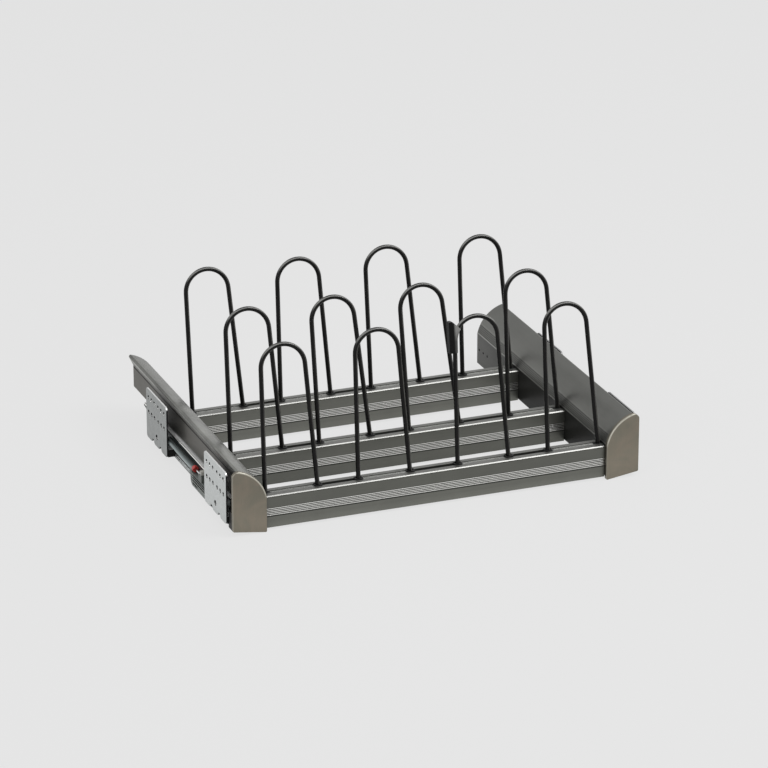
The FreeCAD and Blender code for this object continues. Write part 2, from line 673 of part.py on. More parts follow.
def middle_web():
    return SLIDE_OUTER - MEMBER_THICKNESS - WEB_GAP


def ball_line(level):
    """X of a pair of ball rows: level 0 runs in the fixed member, level 1 in the middle one."""
    outer_web = middle_web() if level else cabinet_web()
    return (outer_web - MEMBER_THICKNESS - WEB_GAP + SLIDE_INNER + MEMBER_THICKNESS) / 2


def flange_heights(level):
    """Outer faces of a member's two flanges: 0 fixed, 1 middle, 2 the rack's."""
    inset = level * FLANGE_STEP
    return SLIDE_BOTTOM + inset, SLIDE_TOP - inset


def ball_heights(level):
    low, high = flange_heights(level)
    inset = MEMBER_THICKNESS + BALL_DROP
    return low + inset, high - inset


def races(level, y0, y1):
    """Ball grooves of one pair of rows, cut from the members on both sides of the balls."""
    return [rod_y(ball_line(level), z, RACE_RADIUS, y0, y1) for z in ball_heights(level)]


def make_cabinet_member():
    low, high = flange_heights(0)
    reach = SLIDE_WIDTH - MEMBER_THICKNESS - FLANGE_SHORTFALL
    solid = channel(cabinet_web(), -1, reach, low, high, SLIDE_FRONT, SLIDE_REAR)
    shoulder = [e for e in solid.Edges
                if e.BoundBox.XMin > SLIDE_OUTER - ON_FACE and e.BoundBox.YLength > SLIDE_LENGTH / 2]
    solid = solid.makeFillet(MEMBER_CORNER, shoulder)
    stepped_face = SLIDE_OUTER - SHOULDER_STEP
    step = box(stepped_face, SLIDE_OUTER, SLIDE_FRONT, SLIDE_REAR,
               low + MEMBER_THICKNESS, low + STEP_HEIGHT)
    solid = solid.cut([step, rear_taper(low, high)] + races(0, SLIDE_FRONT, SLIDE_REAR))
    rib = box(stepped_face, stepped_face + RIB_DEPTH,
              SLIDE_FRONT + TRACK_REAR + RIB_GAP, plate_front("rear") + FOOT_STARTS[0] - RIB_GAP,
              low + RIB_RISE, low + RIB_RISE + RIB_WIDTH)
    return solid.fuse(rib)


def rear_taper(low, high):
    """Room below the fixed member's top flange, behind a slanted cut."""
    top = high - 2 * MEMBER_THICKNESS
    y0 = SLIDE_REAR - REAR_TAPER_LENGTH
    corners = [
        point(SLIDE_INNER, y0, low),
        point(SLIDE_INNER, y0, top - REAR_TAPER_RISE),
        point(SLIDE_INNER, SLIDE_REAR, top),
        point(SLIDE_INNER, SLIDE_REAR, low),
    ]
    side = Part.Face(Part.makePolygon(corners + corners[:1]))
    return side.extrude(point(SLIDE_WIDTH, 0, 0))


def make_middle_member():
    low, high = flange_heights(1)
    reach = middle_web() - SLIDE_INNER - MEMBER_THICKNESS - FLANGE_SHORTFALL
    y1 = SLIDE_FRONT + MOVING_LENGTH
    solid = channel(middle_web(), -1, reach, low, high, SLIDE_FRONT, y1)
    return solid.cut(races(0, SLIDE_FRONT, y1) + races(1, SLIDE_FRONT, y1))


def make_rack_member():
    low, high = flange_heights(2)
    reach = middle_web() - MEMBER_THICKNESS - WEB_GAP - SLIDE_INNER
    y1 = SLIDE_FRONT + MOVING_LENGTH
    solid = channel(SLIDE_INNER, 1, reach, low, high, SLIDE_FRONT, y1)
    bores = [rod_x(y, SLIDE_MIDDLE, RIVET_RADIUS + HOLE_GAP, SLIDE_INNER, SLIDE_INNER + MEMBER_THICKNESS)
             for y in rivet_stations()]
    return solid.cut(races(1, SLIDE_FRONT, y1) + bores)


def retainer_span():
    """Half the pull-out is made in each pair of members, and the balls go half of that."""
    middle = SLIDE_FRONT + MOVING_LENGTH / 2
    half = (MOVING_LENGTH - PULL_OUT / 2) / 2 - RETAINER_MARGIN
    return middle - half, middle + half


def ball_stations():
    y0, y1 = retainer_span()
    return spread(y0 + BALL_MARGIN, y1 - BALL_MARGIN, BALLS_PER_ROW)


def make_retainer(level):
    """Thin C-shaped strip between two nested members, with a hole for every ball."""
    y0, y1 = retainer_span()
    outer_web = middle_web() if level else cabinet_web()
    web = outer_web - MEMBER_THICKNESS - (WEB_GAP - RETAINER_THICKNESS) / 2
    low, high = ball_heights(level)
    half = RETAINER_THICKNESS / 2
    reach = web - ball_line(level) + 2 * BALL_RADIUS
    strip = channel(web, -1, reach, low - half, high + half, y0, y1, RETAINER_THICKNESS)
    bores = [rod_z(ball_line(level), y, BALL_RADIUS + BALL_HOLE_GAP,
                   z - RETAINER_THICKNESS, z + RETAINER_THICKNESS)
             for z in (low, high) for y in ball_stations()]
    return strip.cut(bores)


def make_balls(level):
    return group([Part.makeSphere(BALL_RADIUS, point(ball_line(level), y, z))
                  for z in ball_heights(level) for y in ball_stations()])


def make_rear_stop():
    """Rubber block behind the moving members, under the fixed member's top flange."""
    top = SLIDE_TOP - MEMBER_THICKNESS
    x0 = SLIDE_INNER + MEMBER_THICKNESS + FLANGE_SHORTFALL
    return box(x0, x0 + STOP_WIDTH, SLIDE_REAR - STOP_LENGTH, SLIDE_REAR, top - STOP_HEIGHT, top)


# ---------------------------------------------------------------- what carries the slide on the rail
def rivet_stations():
    return spread(SLIDE_FRONT + RIVET_MARGIN, SLIDE_FRONT + MOVING_LENGTH - RIVET_MARGIN, RIVET_COUNT)


def web_screw_stations():
    first = SLIDE_FRONT + WEB_SCREW_MARGIN
    last = SLIDE_FRONT + MOVING_LENGTH - WEB_SCREW_MARGIN
    return spread(first, last, WEB_SCREW_COUNT)


def web_screw_line():
    return SLIDE_INNER - WEB_SCREW_INSET


def make_hanger_angle():
    """Steel angle under the rail's web; the slide's rack member is riveted to its upright leg."""
    top = WEB_UNDERSIDE
    y1 = SLIDE_FRONT + MOVING_LENGTH
    y0 = RAIL_FRONT + FIT_GAP
    flat = box(OUTER_WALL - ANGLE_WIDTH, OUTER_WALL, y0, y1, top - ANGLE_THICKNESS, top)
    leg = box(SLIDE_INNER - ANGLE_THICKNESS, SLIDE_INNER, y0, y1, top - ANGLE_DROP, top)
    cuts = [rod_z(web_screw_line(), y, SCREW_RADIUS + HOLE_GAP, top - ANGLE_THICKNESS, top)
            for y in [plug_screw_station()] + web_screw_stations()]
    cuts += [rod_x(y, SLIDE_MIDDLE, RIVET_RADIUS + HOLE_GAP, SLIDE_INNER - ANGLE_THICKNESS, SLIDE_INNER)
             for y in rivet_stations()]
    return flat.fuse(leg).removeSplitter().cut(cuts)


def striker_station():
    return SLIDE_FRONT + CATCH_FRONT + CLAW_LENGTH / 2


def claw_top():
    return SLIDE_TOP + UNIT_GAP + CLAW_HEIGHT


def striker_height():
    return max(claw_top() + UNIT_GAP, WEB_UNDERSIDE + WEB_THICKNESS) + STRIKER_FLANGE_RADIUS


def make_striker():
    """Flanged pin on the rail's outer wall that the soft-close catch takes hold of."""
    y, z = striker_station(), striker_height()
    shank = rod_x(y, z, STRIKER_RADIUS, OUTER_WALL - RAIL_WALL, SLIDE_OUTER)
    flange = rod_x(y, z, STRIKER_FLANGE_RADIUS, OUTER_WALL, OUTER_WALL + STRIKER_FLANGE_HEIGHT)
    return shank.fuse(flange)


def hanger_screw(y, reach):
    """Screw driven up through the angle and the web; its tip is at a reach above the web."""
    underside = WEB_UNDERSIDE - ANGLE_THICKNESS
    tip = WEB_UNDERSIDE + WEB_THICKNESS + reach
    head = rod_z(web_screw_line(), y, SCREW_HEAD_RADIUS, underside - SCREW_HEAD_HEIGHT, underside)
    return head.fuse(rod_z(web_screw_line(), y, SCREW_RADIUS, underside, tip))


def make_hanger_screws():
    """Screws of the angle; the foremost one also holds the cap's tongue."""
    screws = [hanger_screw(y, WEB_SCREW_REACH) for y in web_screw_stations()]
    screws.append(hanger_screw(plug_screw_station(), FIT_GAP + PLUG_HEIGHT / 2))
    return group(screws)


def make_rivets():
    """Rivets through the angle's leg and the rack member's web."""
    x0 = SLIDE_INNER - ANGLE_THICKNESS
    x1 = SLIDE_INNER + MEMBER_THICKNESS
    rivets = []
    for y in rivet_stations():
        shank = rod_x(y, SLIDE_MIDDLE, RIVET_RADIUS, x0, x1)
        set_head = rod_x(y, SLIDE_MIDDLE, RIVET_HEAD_RADIUS, x0 - RIVET_HEAD_HEIGHT, x0)
        closed_head = rod_x(y, SLIDE_MIDDLE, RIVET_HEAD_RADIUS, x1, x1 + RIVET_HEAD_HEIGHT)
        rivets.append(shank.fuse([set_head, closed_head]))
    return group(rivets)


def make_bar_screws():
    """Screws through the skirt into the ports of the three bars."""
    screws = []
    for y, z in bar_screw_stations():
        head = rod_x(y, z, SCREW_HEAD_RADIUS, SKIRT_OUTER, SKIRT_OUTER + SCREW_HEAD_HEIGHT)
        shank = rod_x(y, z, SCREW_RADIUS, SKIRT_OUTER - BAR_SCREW_LENGTH, SKIRT_OUTER)
        screws.append(head.fuse(shank))
    return group(screws)


def make_front_buffer():
    """Plastic block behind the cap that meets the fixed member when the rack is shut."""
    y0 = RAIL_FRONT
    y1 = SLIDE_FRONT - FIT_GAP
    x1 = CAP_OUTER - BUFFER_INSET
    bottom = SLIDE_BOTTOM + FIT_GAP
    shoulder = bottom + BUFFER_HEIGHT
    lowest = SLIDE_BOTTOM - BUFFER_DROP
    block = box(SLIDE_INNER, x1, y0, plate_front("front") - FIT_GAP, lowest, shoulder)
    lower_edge = [e for e in block.Edges
                  if e.BoundBox.ZMax < lowest + ON_FACE and e.BoundBox.XMin > x1 - ON_FACE]
    block = block.makeFillet(BUFFER_CORNER, lower_edge)
    nose = box(SLIDE_INNER, SLIDE_OUTER - SHOULDER_STEP - FIT_GAP, y0, y1, bottom, shoulder)
    crown = box(SLIDE_INNER, OUTER_WALL, y0, y1, shoulder - BUFFER_CORNER, WEB_UNDERSIDE - ANGLE_THICKNESS)
    return block.fuse([nose, crown]).removeSplitter()


# ---------------------------------------------------------------- plates on the wardrobe's side
def plate_front(end):
    return SLIDE_FRONT - PLATE_LEAD if end == "front" else SLIDE_REAR - PLATE_TAIL - PLATE_LENGTH


def make_mounting_plate(end):
    """Punched plate with a lobed lower edge and two feet that are welded to the fixed member."""
    y0 = plate_front(end)
    y1 = y0 + PLATE_LENGTH
    middle = (y0 + y1) / 2
    plate = box(PLATE_INNER, CABINET_SIDE, y0, y1, PLATE_BOTTOM + LOBE_HEIGHT, PLATE_TOP)
    upper_corners = [e for e in plate.Edges
                     if e.BoundBox.XLength > PLATE_THICKNESS / 2 and e.BoundBox.ZMin > PLATE_TOP - ON_FACE]
    plate = plate.makeFillet(PLATE_CORNER, upper_corners)
    lobe_length = (PLATE_LENGTH - (PLATE_LOBES - 1) * LOBE_GAP) / PLATE_LOBES
    for i in range(PLATE_LOBES):
        start = y0 + i * (lobe_length + LOBE_GAP)
        lobe = box(PLATE_INNER, CABINET_SIDE, start, start + lobe_length,
                   PLATE_BOTTOM, PLATE_BOTTOM + LOBE_HEIGHT)
        across = [e for e in lobe.Edges if e.BoundBox.XLength > PLATE_THICKNESS / 2]
        lower_corners = [e for e in across if e.BoundBox.ZMax < PLATE_BOTTOM + ON_FACE]
        plate = plate.fuse(lobe.makeFillet(LOBE_HEIGHT - LOBE_STRAIGHT, lower_corners))
    foot_bottom = SLIDE_BOTTOM + MEMBER_THICKNESS + FIT_GAP
    foot_top = SLIDE_BOTTOM + STEP_HEIGHT - FIT_GAP
    for start in FOOT_STARTS:
        plate = plate.fuse(box(SLIDE_OUTER - SHOULDER_STEP, PLATE_INNER,
                               y0 + start, y0 + start + FOOT_LENGTH, foot_bottom, foot_top))
    bores = [rod_x(middle + side * offset, z, HOLE_RADIUS, PLATE_INNER, CABINET_SIDE)
             for z in HOLE_ROWS for offset in HOLE_OFFSETS for side in (-1, 1)]
    bores.append(rod_x(middle, ACCESS_HOLE_HEIGHT, ACCESS_HOLE_RADIUS, PLATE_INNER, CABINET_SIDE))
    return plate.removeSplitter().cut(bores)


# ---------------------------------------------------------------- soft-close unit
def make_damper_track():
    """Housing on the fixed member's face: guides the catch and holds the damper in a saddle."""
    y0 = SLIDE_FRONT + CATCH_FRONT - CATCH_TRAVEL - TRACK_END
    y1 = SLIDE_FRONT + TRACK_REAR
    z0 = SLIDE_BOTTOM + FIT_GAP
    z1 = z0 + TRACK_HEIGHT
    body = box(SLIDE_OUTER, UNIT_OUTER, y0, y1, z0, z1)
    rear_corner = [e for e in body.Edges
                   if e.BoundBox.YMin > y1 - ON_FACE and e.BoundBox.ZMax < z0 + ON_FACE]
    body = body.makeFillet(TRACK_CORNER, rear_corner)
    saddle_front = SLIDE_FRONT + DAMPER_FRONT + DAMPER_END_LENGTH
    saddle = box(SLIDE_OUTER, UNIT_OUTER, saddle_front, saddle_front + SADDLE_LENGTH,
                 z1 - SADDLE_RISE, DAMPER_HEIGHT - DAMPER_RADIUS + SADDLE_RISE)
    bore = rod_y(DAMPER_AXIS, DAMPER_HEIGHT, DAMPER_RADIUS + HOLE_GAP, y0, y1 + DAMPER_LENGTH)
    slot_middle = y1 - TRACK_CORNER - TRACK_SLOT_LENGTH / 2
    slot = box(SLIDE_OUTER + UNIT_GAP, UNIT_OUTER, slot_middle - TRACK_SLOT_LENGTH / 2,
               slot_middle + TRACK_SLOT_LENGTH / 2, z0 + TRACK_SLOT_HEIGHT, z0 + 2 * TRACK_SLOT_HEIGHT)
    grooves = [box(UNIT_OUTER - TRACK_GROOVE_DEPTH, UNIT_OUTER, y0, y1 - TRACK_CORNER,
                   z0 + height, z0 + height + TRACK_GROOVE_WIDTH) for height in TRACK_GROOVES]
    return body.fuse(saddle).removeSplitter().cut([bore, slot] + grooves)


def damper_span():
    """Front and rear of the damper's tube, behind its coloured end piece."""
    front = SLIDE_FRONT + DAMPER_FRONT + DAMPER_END_LENGTH
    return front, front + DAMPER_LENGTH


def make_damper_tube():
    y0, y1 = damper_span()
    tube = rod_y(DAMPER_AXIS, DAMPER_HEIGHT, DAMPER_RADIUS, y0, y1)
    bore = rod_y(DAMPER_AXIS, DAMPER_HEIGHT, DAMPER_RADIUS - DAMPER_WALL, y0, y1 - DAMPER_WALL)
    return tube.cut(bore)


def make_damper_end():
    y0, _ = damper_span()
    end = rod_y(DAMPER_AXIS, DAMPER_HEIGHT, DAMPER_RADIUS, y0 - DAMPER_END_LENGTH, y0)
    rim = [e for e in end.Edges if e.BoundBox.YMax < y0 - DAMPER_END_LENGTH + ON_FACE]
    end = end.makeFillet(DAMPER_WALL, rim)
    bore = rod_y(DAMPER_AXIS, DAMPER_HEIGHT, ROD_RADIUS + ROD_CLEARANCE, y0 - DAMPER_END_LENGTH, y0)
    notch_rear = y0 - DAMPER_END_LENGTH + END_NOTCH_DEPTH
    upright = box(DAMPER_AXIS - END_NOTCH_WIDTH / 2, DAMPER_AXIS + END_NOTCH_WIDTH / 2,
                  y0 - DAMPER_END_LENGTH, notch_rear,
                  DAMPER_HEIGHT - DAMPER_RADIUS, DAMPER_HEIGHT + DAMPER_RADIUS)
    level = box(DAMPER_AXIS - DAMPER_RADIUS, DAMPER_AXIS + DAMPER_RADIUS,
                y0 - DAMPER_END_LENGTH, notch_rear,
                DAMPER_HEIGHT - END_NOTCH_WIDTH / 2, DAMPER_HEIGHT + END_NOTCH_WIDTH / 2)
    return end.cut([bore, upright, level])


def make_damper_rod():
    catch_rear = SLIDE_FRONT + CATCH_FRONT + CATCH_LENGTH
    rod_end = damper_span()[0] + CATCH_TRAVEL + ROD_KEPT
    rod = rod_y(DAMPER_AXIS, DAMPER_HEIGHT, ROD_RADIUS, catch_rear - CATCH_LENGTH / 2, rod_end)
    piston_radius = DAMPER_RADIUS - DAMPER_WALL - ROD_CLEARANCE
    piston = rod_y(DAMPER_AXIS, DAMPER_HEIGHT, piston_radius, rod_end - PISTON_LENGTH, rod_end)
    return rod.fuse(piston)


def make_catch():
    """Plastic slider with a claw that reaches in over the fixed member."""
    y0 = SLIDE_FRONT + CATCH_FRONT
    y1 = y0 + CATCH_LENGTH
    z0 = SLIDE_BOTTOM + FIT_GAP + TRACK_HEIGHT + UNIT_GAP
    body = box(UNIT_INNER, UNIT_OUTER, y0, y1, z0, z0 + CATCH_HEIGHT)
    post = box(UNIT_INNER, UNIT_OUTER, y0, y0 + CLAW_LENGTH, z0 + CATCH_HEIGHT - CLAW_HEIGHT, claw_top())
    claw = box(OUTER_WALL + STRIKER_FLANGE_HEIGHT, UNIT_OUTER, y0, y0 + CLAW_LENGTH,
               claw_top() - CLAW_HEIGHT, claw_top())
    bore = rod_y(DAMPER_AXIS, DAMPER_HEIGHT, ROD_RADIUS, y1 - CATCH_LENGTH / 2, y1)
    return body.fuse([post, claw]).removeSplitter().cut(bore)


# ---------------------------------------------------------------- write every piece
def main():
    os.makedirs("parts", exist_ok=True)
    save_pair("side_rail", make_rail())
    save_pair("front_cap", make_front_cap())
    for row in BAR_SETBACKS:
        save("cross_bar_" + row, make_bar(row))
        save("wire_hoops_" + row, make_wire(row))
        save("wire_end_blocks_" + row, make_end_blocks(row))
        save("foot_pads_" + row, make_foot_pads(row))
    save("hoop_clip", make_hoop_clip())
    save_pair("slide_cabinet_member", make_cabinet_member())
    save_pair("slide_middle_member", make_middle_member())
    save_pair("slide_rack_member", make_rack_member())
    for level, name in enumerate(("outer", "inner")):
        save_pair("ball_retainer_" + name, make_retainer(level))
        save_pair("bearing_balls_" + name, make_balls(level))
    save_pair("slide_rear_stop", make_rear_stop())
    save_pair("hanger_angle", make_hanger_angle())
    save_pair("hanger_screws", make_hanger_screws())
    save_pair("slide_rivets", make_rivets())
    save_pair("bar_screws", make_bar_screws())
    save_pair("front_buffer", make_front_buffer())
    save_pair("striker_pin", make_striker())
    for end in ("front", "rear"):
        save_pair("mounting_plate_" + end, make_mounting_plate(end))
    save_pair("damper_track", make_damper_track())
    save_pair("damper_tube", make_damper_tube())
    save_pair("damper_end", make_damper_end())
    save_pair("damper_rod", make_damper_rod())
    save_pair("soft_close_catch", make_catch())


main()
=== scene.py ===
import math
import bmesh
import bpy
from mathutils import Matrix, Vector


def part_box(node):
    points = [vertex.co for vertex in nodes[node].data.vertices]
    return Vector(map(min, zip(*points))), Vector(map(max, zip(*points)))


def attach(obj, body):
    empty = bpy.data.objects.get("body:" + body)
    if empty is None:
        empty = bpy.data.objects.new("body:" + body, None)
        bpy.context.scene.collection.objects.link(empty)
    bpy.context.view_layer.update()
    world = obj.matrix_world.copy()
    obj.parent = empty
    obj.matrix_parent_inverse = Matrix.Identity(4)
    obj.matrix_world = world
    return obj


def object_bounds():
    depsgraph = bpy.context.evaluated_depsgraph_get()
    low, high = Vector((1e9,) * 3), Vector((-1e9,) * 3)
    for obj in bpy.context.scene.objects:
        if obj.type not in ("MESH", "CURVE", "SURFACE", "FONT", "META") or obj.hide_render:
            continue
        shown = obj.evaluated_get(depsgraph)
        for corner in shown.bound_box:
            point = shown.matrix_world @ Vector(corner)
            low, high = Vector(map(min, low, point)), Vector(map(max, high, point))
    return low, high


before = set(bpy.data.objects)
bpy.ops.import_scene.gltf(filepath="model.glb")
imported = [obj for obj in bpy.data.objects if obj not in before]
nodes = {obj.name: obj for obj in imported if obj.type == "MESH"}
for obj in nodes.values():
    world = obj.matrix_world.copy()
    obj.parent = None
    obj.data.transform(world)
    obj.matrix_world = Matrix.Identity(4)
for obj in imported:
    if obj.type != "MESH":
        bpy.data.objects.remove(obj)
cad_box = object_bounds()

# ---------------------------------------------------------------- studio
BACKGROUND = 0.776           # linear grey that the floor shows
FLOOR_COLOUR = 0.07
FLOOR_LIT = 0.061            # what the lamps alone make of it
FLOOR_REACH = 60.0           # half the floor's side
FLOOR_GAP = 0.0003           # how far the floor lies under the rack
AMBIENT = 0.50               # light of the world on matt surfaces
SKY = ((0.0, 1.0), (0.10, 0.95), (0.35, 0.78), (0.7, 0.62), (1.0, 0.60))   # height of the ray, strength
WALL_PANEL = 0.75            # strength of a bright panel low behind the right side, for reflections
PANEL_SIDE = (0.80, 0.60)    # where it stands, as seen from above
PANEL_EDGE = (0.75, 0.95)    # how squarely a ray must point at it: its soft edge
PANEL_TOP = (0.10, 0.24)     # height of the ray at which it fades out
LAMPS = {                    # place, size and power
    "key_light": ((1.6, -1.2, 2.6), (1.8, 1.8), 60.0),
    "fill_light": ((-2.4, -1.6, 1.8), (1.6, 1.6), 22.0),
}
LAMP_AIM = (0, 0, 0.08)
CAMERA_PLACE = (-1.8473, -4.7848, 2.1030)
CAMERA_TURN = (68.54, 0.0, -21.21)           # degrees
CAMERA_LENS = 195.8
CAMERA_SENSOR = 36.0
CAMERA_REACH = 200.0

# ---------------------------------------------------------------- sizes that repeat the part's, in m
LINE_COUNT = 5               # turned lines on a bar's front
LINE_FIRST = 0.017           # the first one's upper edge, under the bar's top
LINE_PITCH = 0.0022
LINE_WIDTH = 0.0011
BAR_EDGE = 0.0012            # chamfer along the bar's front edge
SLOT_CENTRE = 0.0134         # the bar's slot, behind its front face
SLOT_DEPTH = 0.0076
STRIP_WIDTH = 0.0070         # strip in the slot under a hoop
STRIP_DROP = 0.0005
STRIP_EDGE = 0.0004
STRIP_GROOVES = (-0.0013, 0.0013)
STRIP_GROOVE_HALF = 0.0005
STRIP_GROOVE_DEPTH = 0.0006
FOOT_SPAN = 0.071            # from one foot of a hoop to the other
FOOT_GAP = 0.0036            # from a foot's middle to the strip's end
HOOP_FEET = {                # middles between each hoop's feet, along X
    "front": (-0.19400, -0.06797, 0.06847, 0.19450),
    "middle": (-0.19400, -0.07197, 0.05347, 0.19450),
    "rear": (-0.19250, -0.06847, 0.06047, 0.19300),
}
RAIL_WALL = 0.2600           # from here out it is the rail's outer side
LIP_FOOT = 0.0716            # lower edge of the rail's rolled lip
LIP_UNDERSIDE = (0.0735, 0.0790)
CURVE_FOOT = 0.0485          # lower end of the rail's curved face
CURVE_CENTRE = (0.2830, 0.03855)    # of the rail's and the cap's round face: distance out, height
CURVE_RADIUS = 0.050
REVEAL_HEIGHTS = (0.05141, 0.05372, 0.05599, 0.05822, 0.06040)
CAP_FACE = -0.2205
SLIDE_FACE = 0.2710          # outer face of the slide's fixed member
# where painted light and shade lie on the slide's fixed member
SLIDE_SEAM_SHADOWS = ((0.0362, 0.0008), (0.0156, 0.0011))      # middle height and half width of each painted shadow line
SLIDE_LOW_BAND = (0.0200, 0.0225)       # heights between which each of these fades
SLIDE_FOOT = (0.0116, 0.0124)
SLIDE_TOP_EDGE = (0.0371, 0.0375)
SLIDE_ROOF = (0.0378, 0.0382)
TRACK_GROOVES = (0.0161, 0.0197, 0.0229)
TRACK_RIDGE_DROP = 0.0016               # from a groove down to the ridge with its painted highlight
CATCH_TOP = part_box("soft_close_catch_left")[1].z
CLIP_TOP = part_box("hoop_clip")[1].z
CLIP_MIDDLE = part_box("hoop_clip")[0].x + 0.0075

# ---------------------------------------------------------------- shared looks
ALONG_Y = (1, 0.008, 1)      # stretch of the noise that draws a metal's grain
ALONG_X = (0.008, 1, 1)
UPRIGHT = (1, 1, 0.02)
ANY_WAY = (1, 1, 1)
# dark colours of the painted shade in seams, grooves, gaps and shadow lines
DEEP_SHADE = (0.006, 0.006, 0.006)
SHADE = (0.012, 0.012, 0.011)
HOLE_SHADE = (0.012, 0.012, 0.012)
GROOVE_SHADE = (0.020, 0.020, 0.018)
TRACK_GROOVE_SHADE = (0.020, 0.022, 0.020)
SLIDE_RIB_SHADOW = (0.030, 0.032, 0.030)
PLASTIC_GRAIN = 0.00035
BAR_COLOUR = (0.130, 0.132, 0.118)
BAR_PAINTED_LIGHT = {                # painted light: each bar's tone factors above the turned lines, under them and at the foot
    "cross_bar_front": (1.10, 1.36, 1.85),
    "cross_bar_middle": (1.30, 1.15, 1.25),
    "cross_bar_rear": (1.36, 1.42, 1.85),
}


# ---------------------------------------------------------------- procedural surfaces
def feed(tree, socket, value):
    """Link an output to a socket, or set a constant on it."""
    if isinstance(value, bpy.types.NodeSocket):
        tree.links.new(value, socket)
    else:
        socket.default_value = value


def calc(tree, operation, a, b=0.0):
    """A Math node's result."""
    node = tree.nodes.new("ShaderNodeMath")
    node.operation = operation
    feed(tree, node.inputs[0], a)
    feed(tree, node.inputs[1], b)
    return node.outputs[0]


class Surface:
    """A Principled material that is built up from procedural layers in object space.

    normal is the surface's direction so far, and dull where painted shade takes the shine away.
    """

    def __init__(self, name, metallic, **constants):
        self.material = bpy.data.materials.new(name)
        self.material.use_nodes = True
        self.tree = self.material.node_tree
        self.shader = self.tree.nodes["Principled BSDF"]
        self.shader.inputs["Metallic"].default_value = metallic
        self.metallic = metallic
        for socket, value in constants.items():
            if socket == "Specular_Tint":
                value = (value, value, value, 1.0)
            self.shader.inputs[socket.replace("_", " ")].default_value = value
        self.coords = self.add("ShaderNodeTexCoord").outputs["Object"]
        self.place = self.add("ShaderNodeSeparateXYZ")
        self.tree.links.new(self.coords, self.place.inputs[0])
        self.normal = None
        self.dull = None

    def add(self, kind, **settings):
        node = self.tree.nodes.new(kind)
        for key, value in settings.items():
            setattr(node, key, value)
        return node

    def feed(self, socket, value):
        feed(self.tree, socket, value)

    def math(self, operation, a, b=0.0):
        return calc(self.tree, operation, a, b)

    def axis(self, name):
        """Where a point is along an axis, in metres."""
        return self.place.outputs[name]

    def side(self):
        """How far a point is from the middle of the rack's width."""
        return self.math("ABSOLUTE", self.axis("X"))

    def slant(self, name):
        """How far the surface faces along an axis: 1 along it, -1 against it."""
        split = self.add("ShaderNodeSeparateXYZ")
        self.tree.links.new(self.add("ShaderNodeNewGeometry").outputs["Normal"], split.inputs[0])
        return split.outputs[name]

    def facing(self, name):
        """How squarely the surface faces along an axis, either way."""
        return self.math("ABSOLUTE", self.slant(name))

    def from_line(self, out, height):
        """Distance from a line along Y that runs so far out to either side and so high."""
        across = self.math("SUBTRACT", self.side(), out)
        up = self.math("SUBTRACT", self.axis("Z"), height)
        squares = self.math("ADD", self.both(across, across), self.both(up, up))
        return self.math("SQRT", squares)

    def noise(self, per_metre, detail=3.0, stretch=ANY_WAY, distortion=0.0):
        """Noise of so many waves a metre; a stretch under 1 draws it out along that axis."""
        mapping = self.add("ShaderNodeMapping")
        mapping.inputs["Scale"].default_value = [per_metre * s for s in stretch]
        self.tree.links.new(self.coords, mapping.inputs["Vector"])
        node = self.add("ShaderNodeTexNoise")
        node.inputs["Scale"].default_value = 1.0
        node.inputs["Detail"].default_value = detail
        node.inputs["Distortion"].default_value = distortion
        self.tree.links.new(mapping.outputs[0], node.inputs["Vector"])
        return node.outputs["Fac"]

    def span(self, value, low, high, start=0.3, end=0.7):
        """Low where the value is at start, high where it is at end, even in between."""
        node = self.add("ShaderNodeMapRange")
        for socket, number in zip(node.inputs[1:5], (start, end, low, high)):
            socket.default_value = number
        self.feed(node.inputs[0], value)
        return node.outputs[0]

    def band(self, value, middle, half_width, soft):
        """1 within half a width of the middle, fading to 0 over the soft edge."""
        away = self.math("ABSOLUTE", self.math("SUBTRACT", value, middle))
        return self.span(away, 1.0, 0.0, start=half_width - soft / 2, end=half_width + soft / 2)

    def both(self, a, b):
        return self.math("MULTIPLY", a, b)

    def either(self, a, b):
        return self.math("MAXIMUM", a, b)

    def mix(self, factor, a, b, blend="MIX"):
        node = self.add("ShaderNodeMix", data_type="RGBA", blend_type=blend)
        colours = [s for s in node.inputs if s.type == "RGBA"]
        self.feed(node.inputs[0], factor)
        for socket, value in zip(colours, (a, b)):
            self.feed(socket, (*value, 1.0) if isinstance(value, tuple) else value)
        return next(s for s in node.outputs if s.type == "RGBA")

    def times(self, colour, factor):
        """The colour, made darker or paler by a factor that varies."""
        grey = self.add("ShaderNodeCombineXYZ")
        for socket in grey.inputs:
            self.feed(socket, factor)
        return self.mix(1.0, colour, grey.outputs[0], blend="MULTIPLY")

    def painted_gap_shade(self, reach, least):
        """1 on open surfaces, falling to least deep in gaps: painted shade, taken from ambient
        occlusion.
        """
        node = self.add("ShaderNodeAmbientOcclusion", samples=6)
        node.inputs["Distance"].default_value = reach
        return self.span(node.outputs["AO"], least, 1.0, start=0.15, end=0.8)

    def round_edges(self, radius):
        """Edges shade as if they were rounded by that radius; returns how much a point is an edge."""
        bevel = self.add("ShaderNodeBevel", samples=4)
        bevel.inputs["Radius"].default_value = radius
        self.normal = bevel.outputs[0]
        flat = self.add("ShaderNodeNewGeometry").outputs["Normal"]
        dot = self.add("ShaderNodeVectorMath", operation="DOT_PRODUCT")
        self.feed(dot.inputs[0], self.normal)
        self.feed(dot.inputs[1], flat)
        return self.span(dot.outputs["Value"], 1.0, 0.0, start=0.8, end=0.99)

    def bump(self, height, strength, distance):
        node = self.add("ShaderNodeBump")
        node.inputs["Strength"].default_value = strength
        node.inputs["Distance"].default_value = distance
        self.feed(node.inputs["Height"], height)
        if self.normal:
            self.tree.links.new(self.normal, node.inputs["Normal"])
        self.normal = node.outputs[0]

    def paint_shade(self, tone, mask, colour=DEEP_SHADE):
        """Painted shade: dark and matt where the mask is 1, it takes the colour and the shine away."""
        self.dull = self.either(self.dull, mask) if self.dull else mask
        return self.mix(mask, tone, colour)

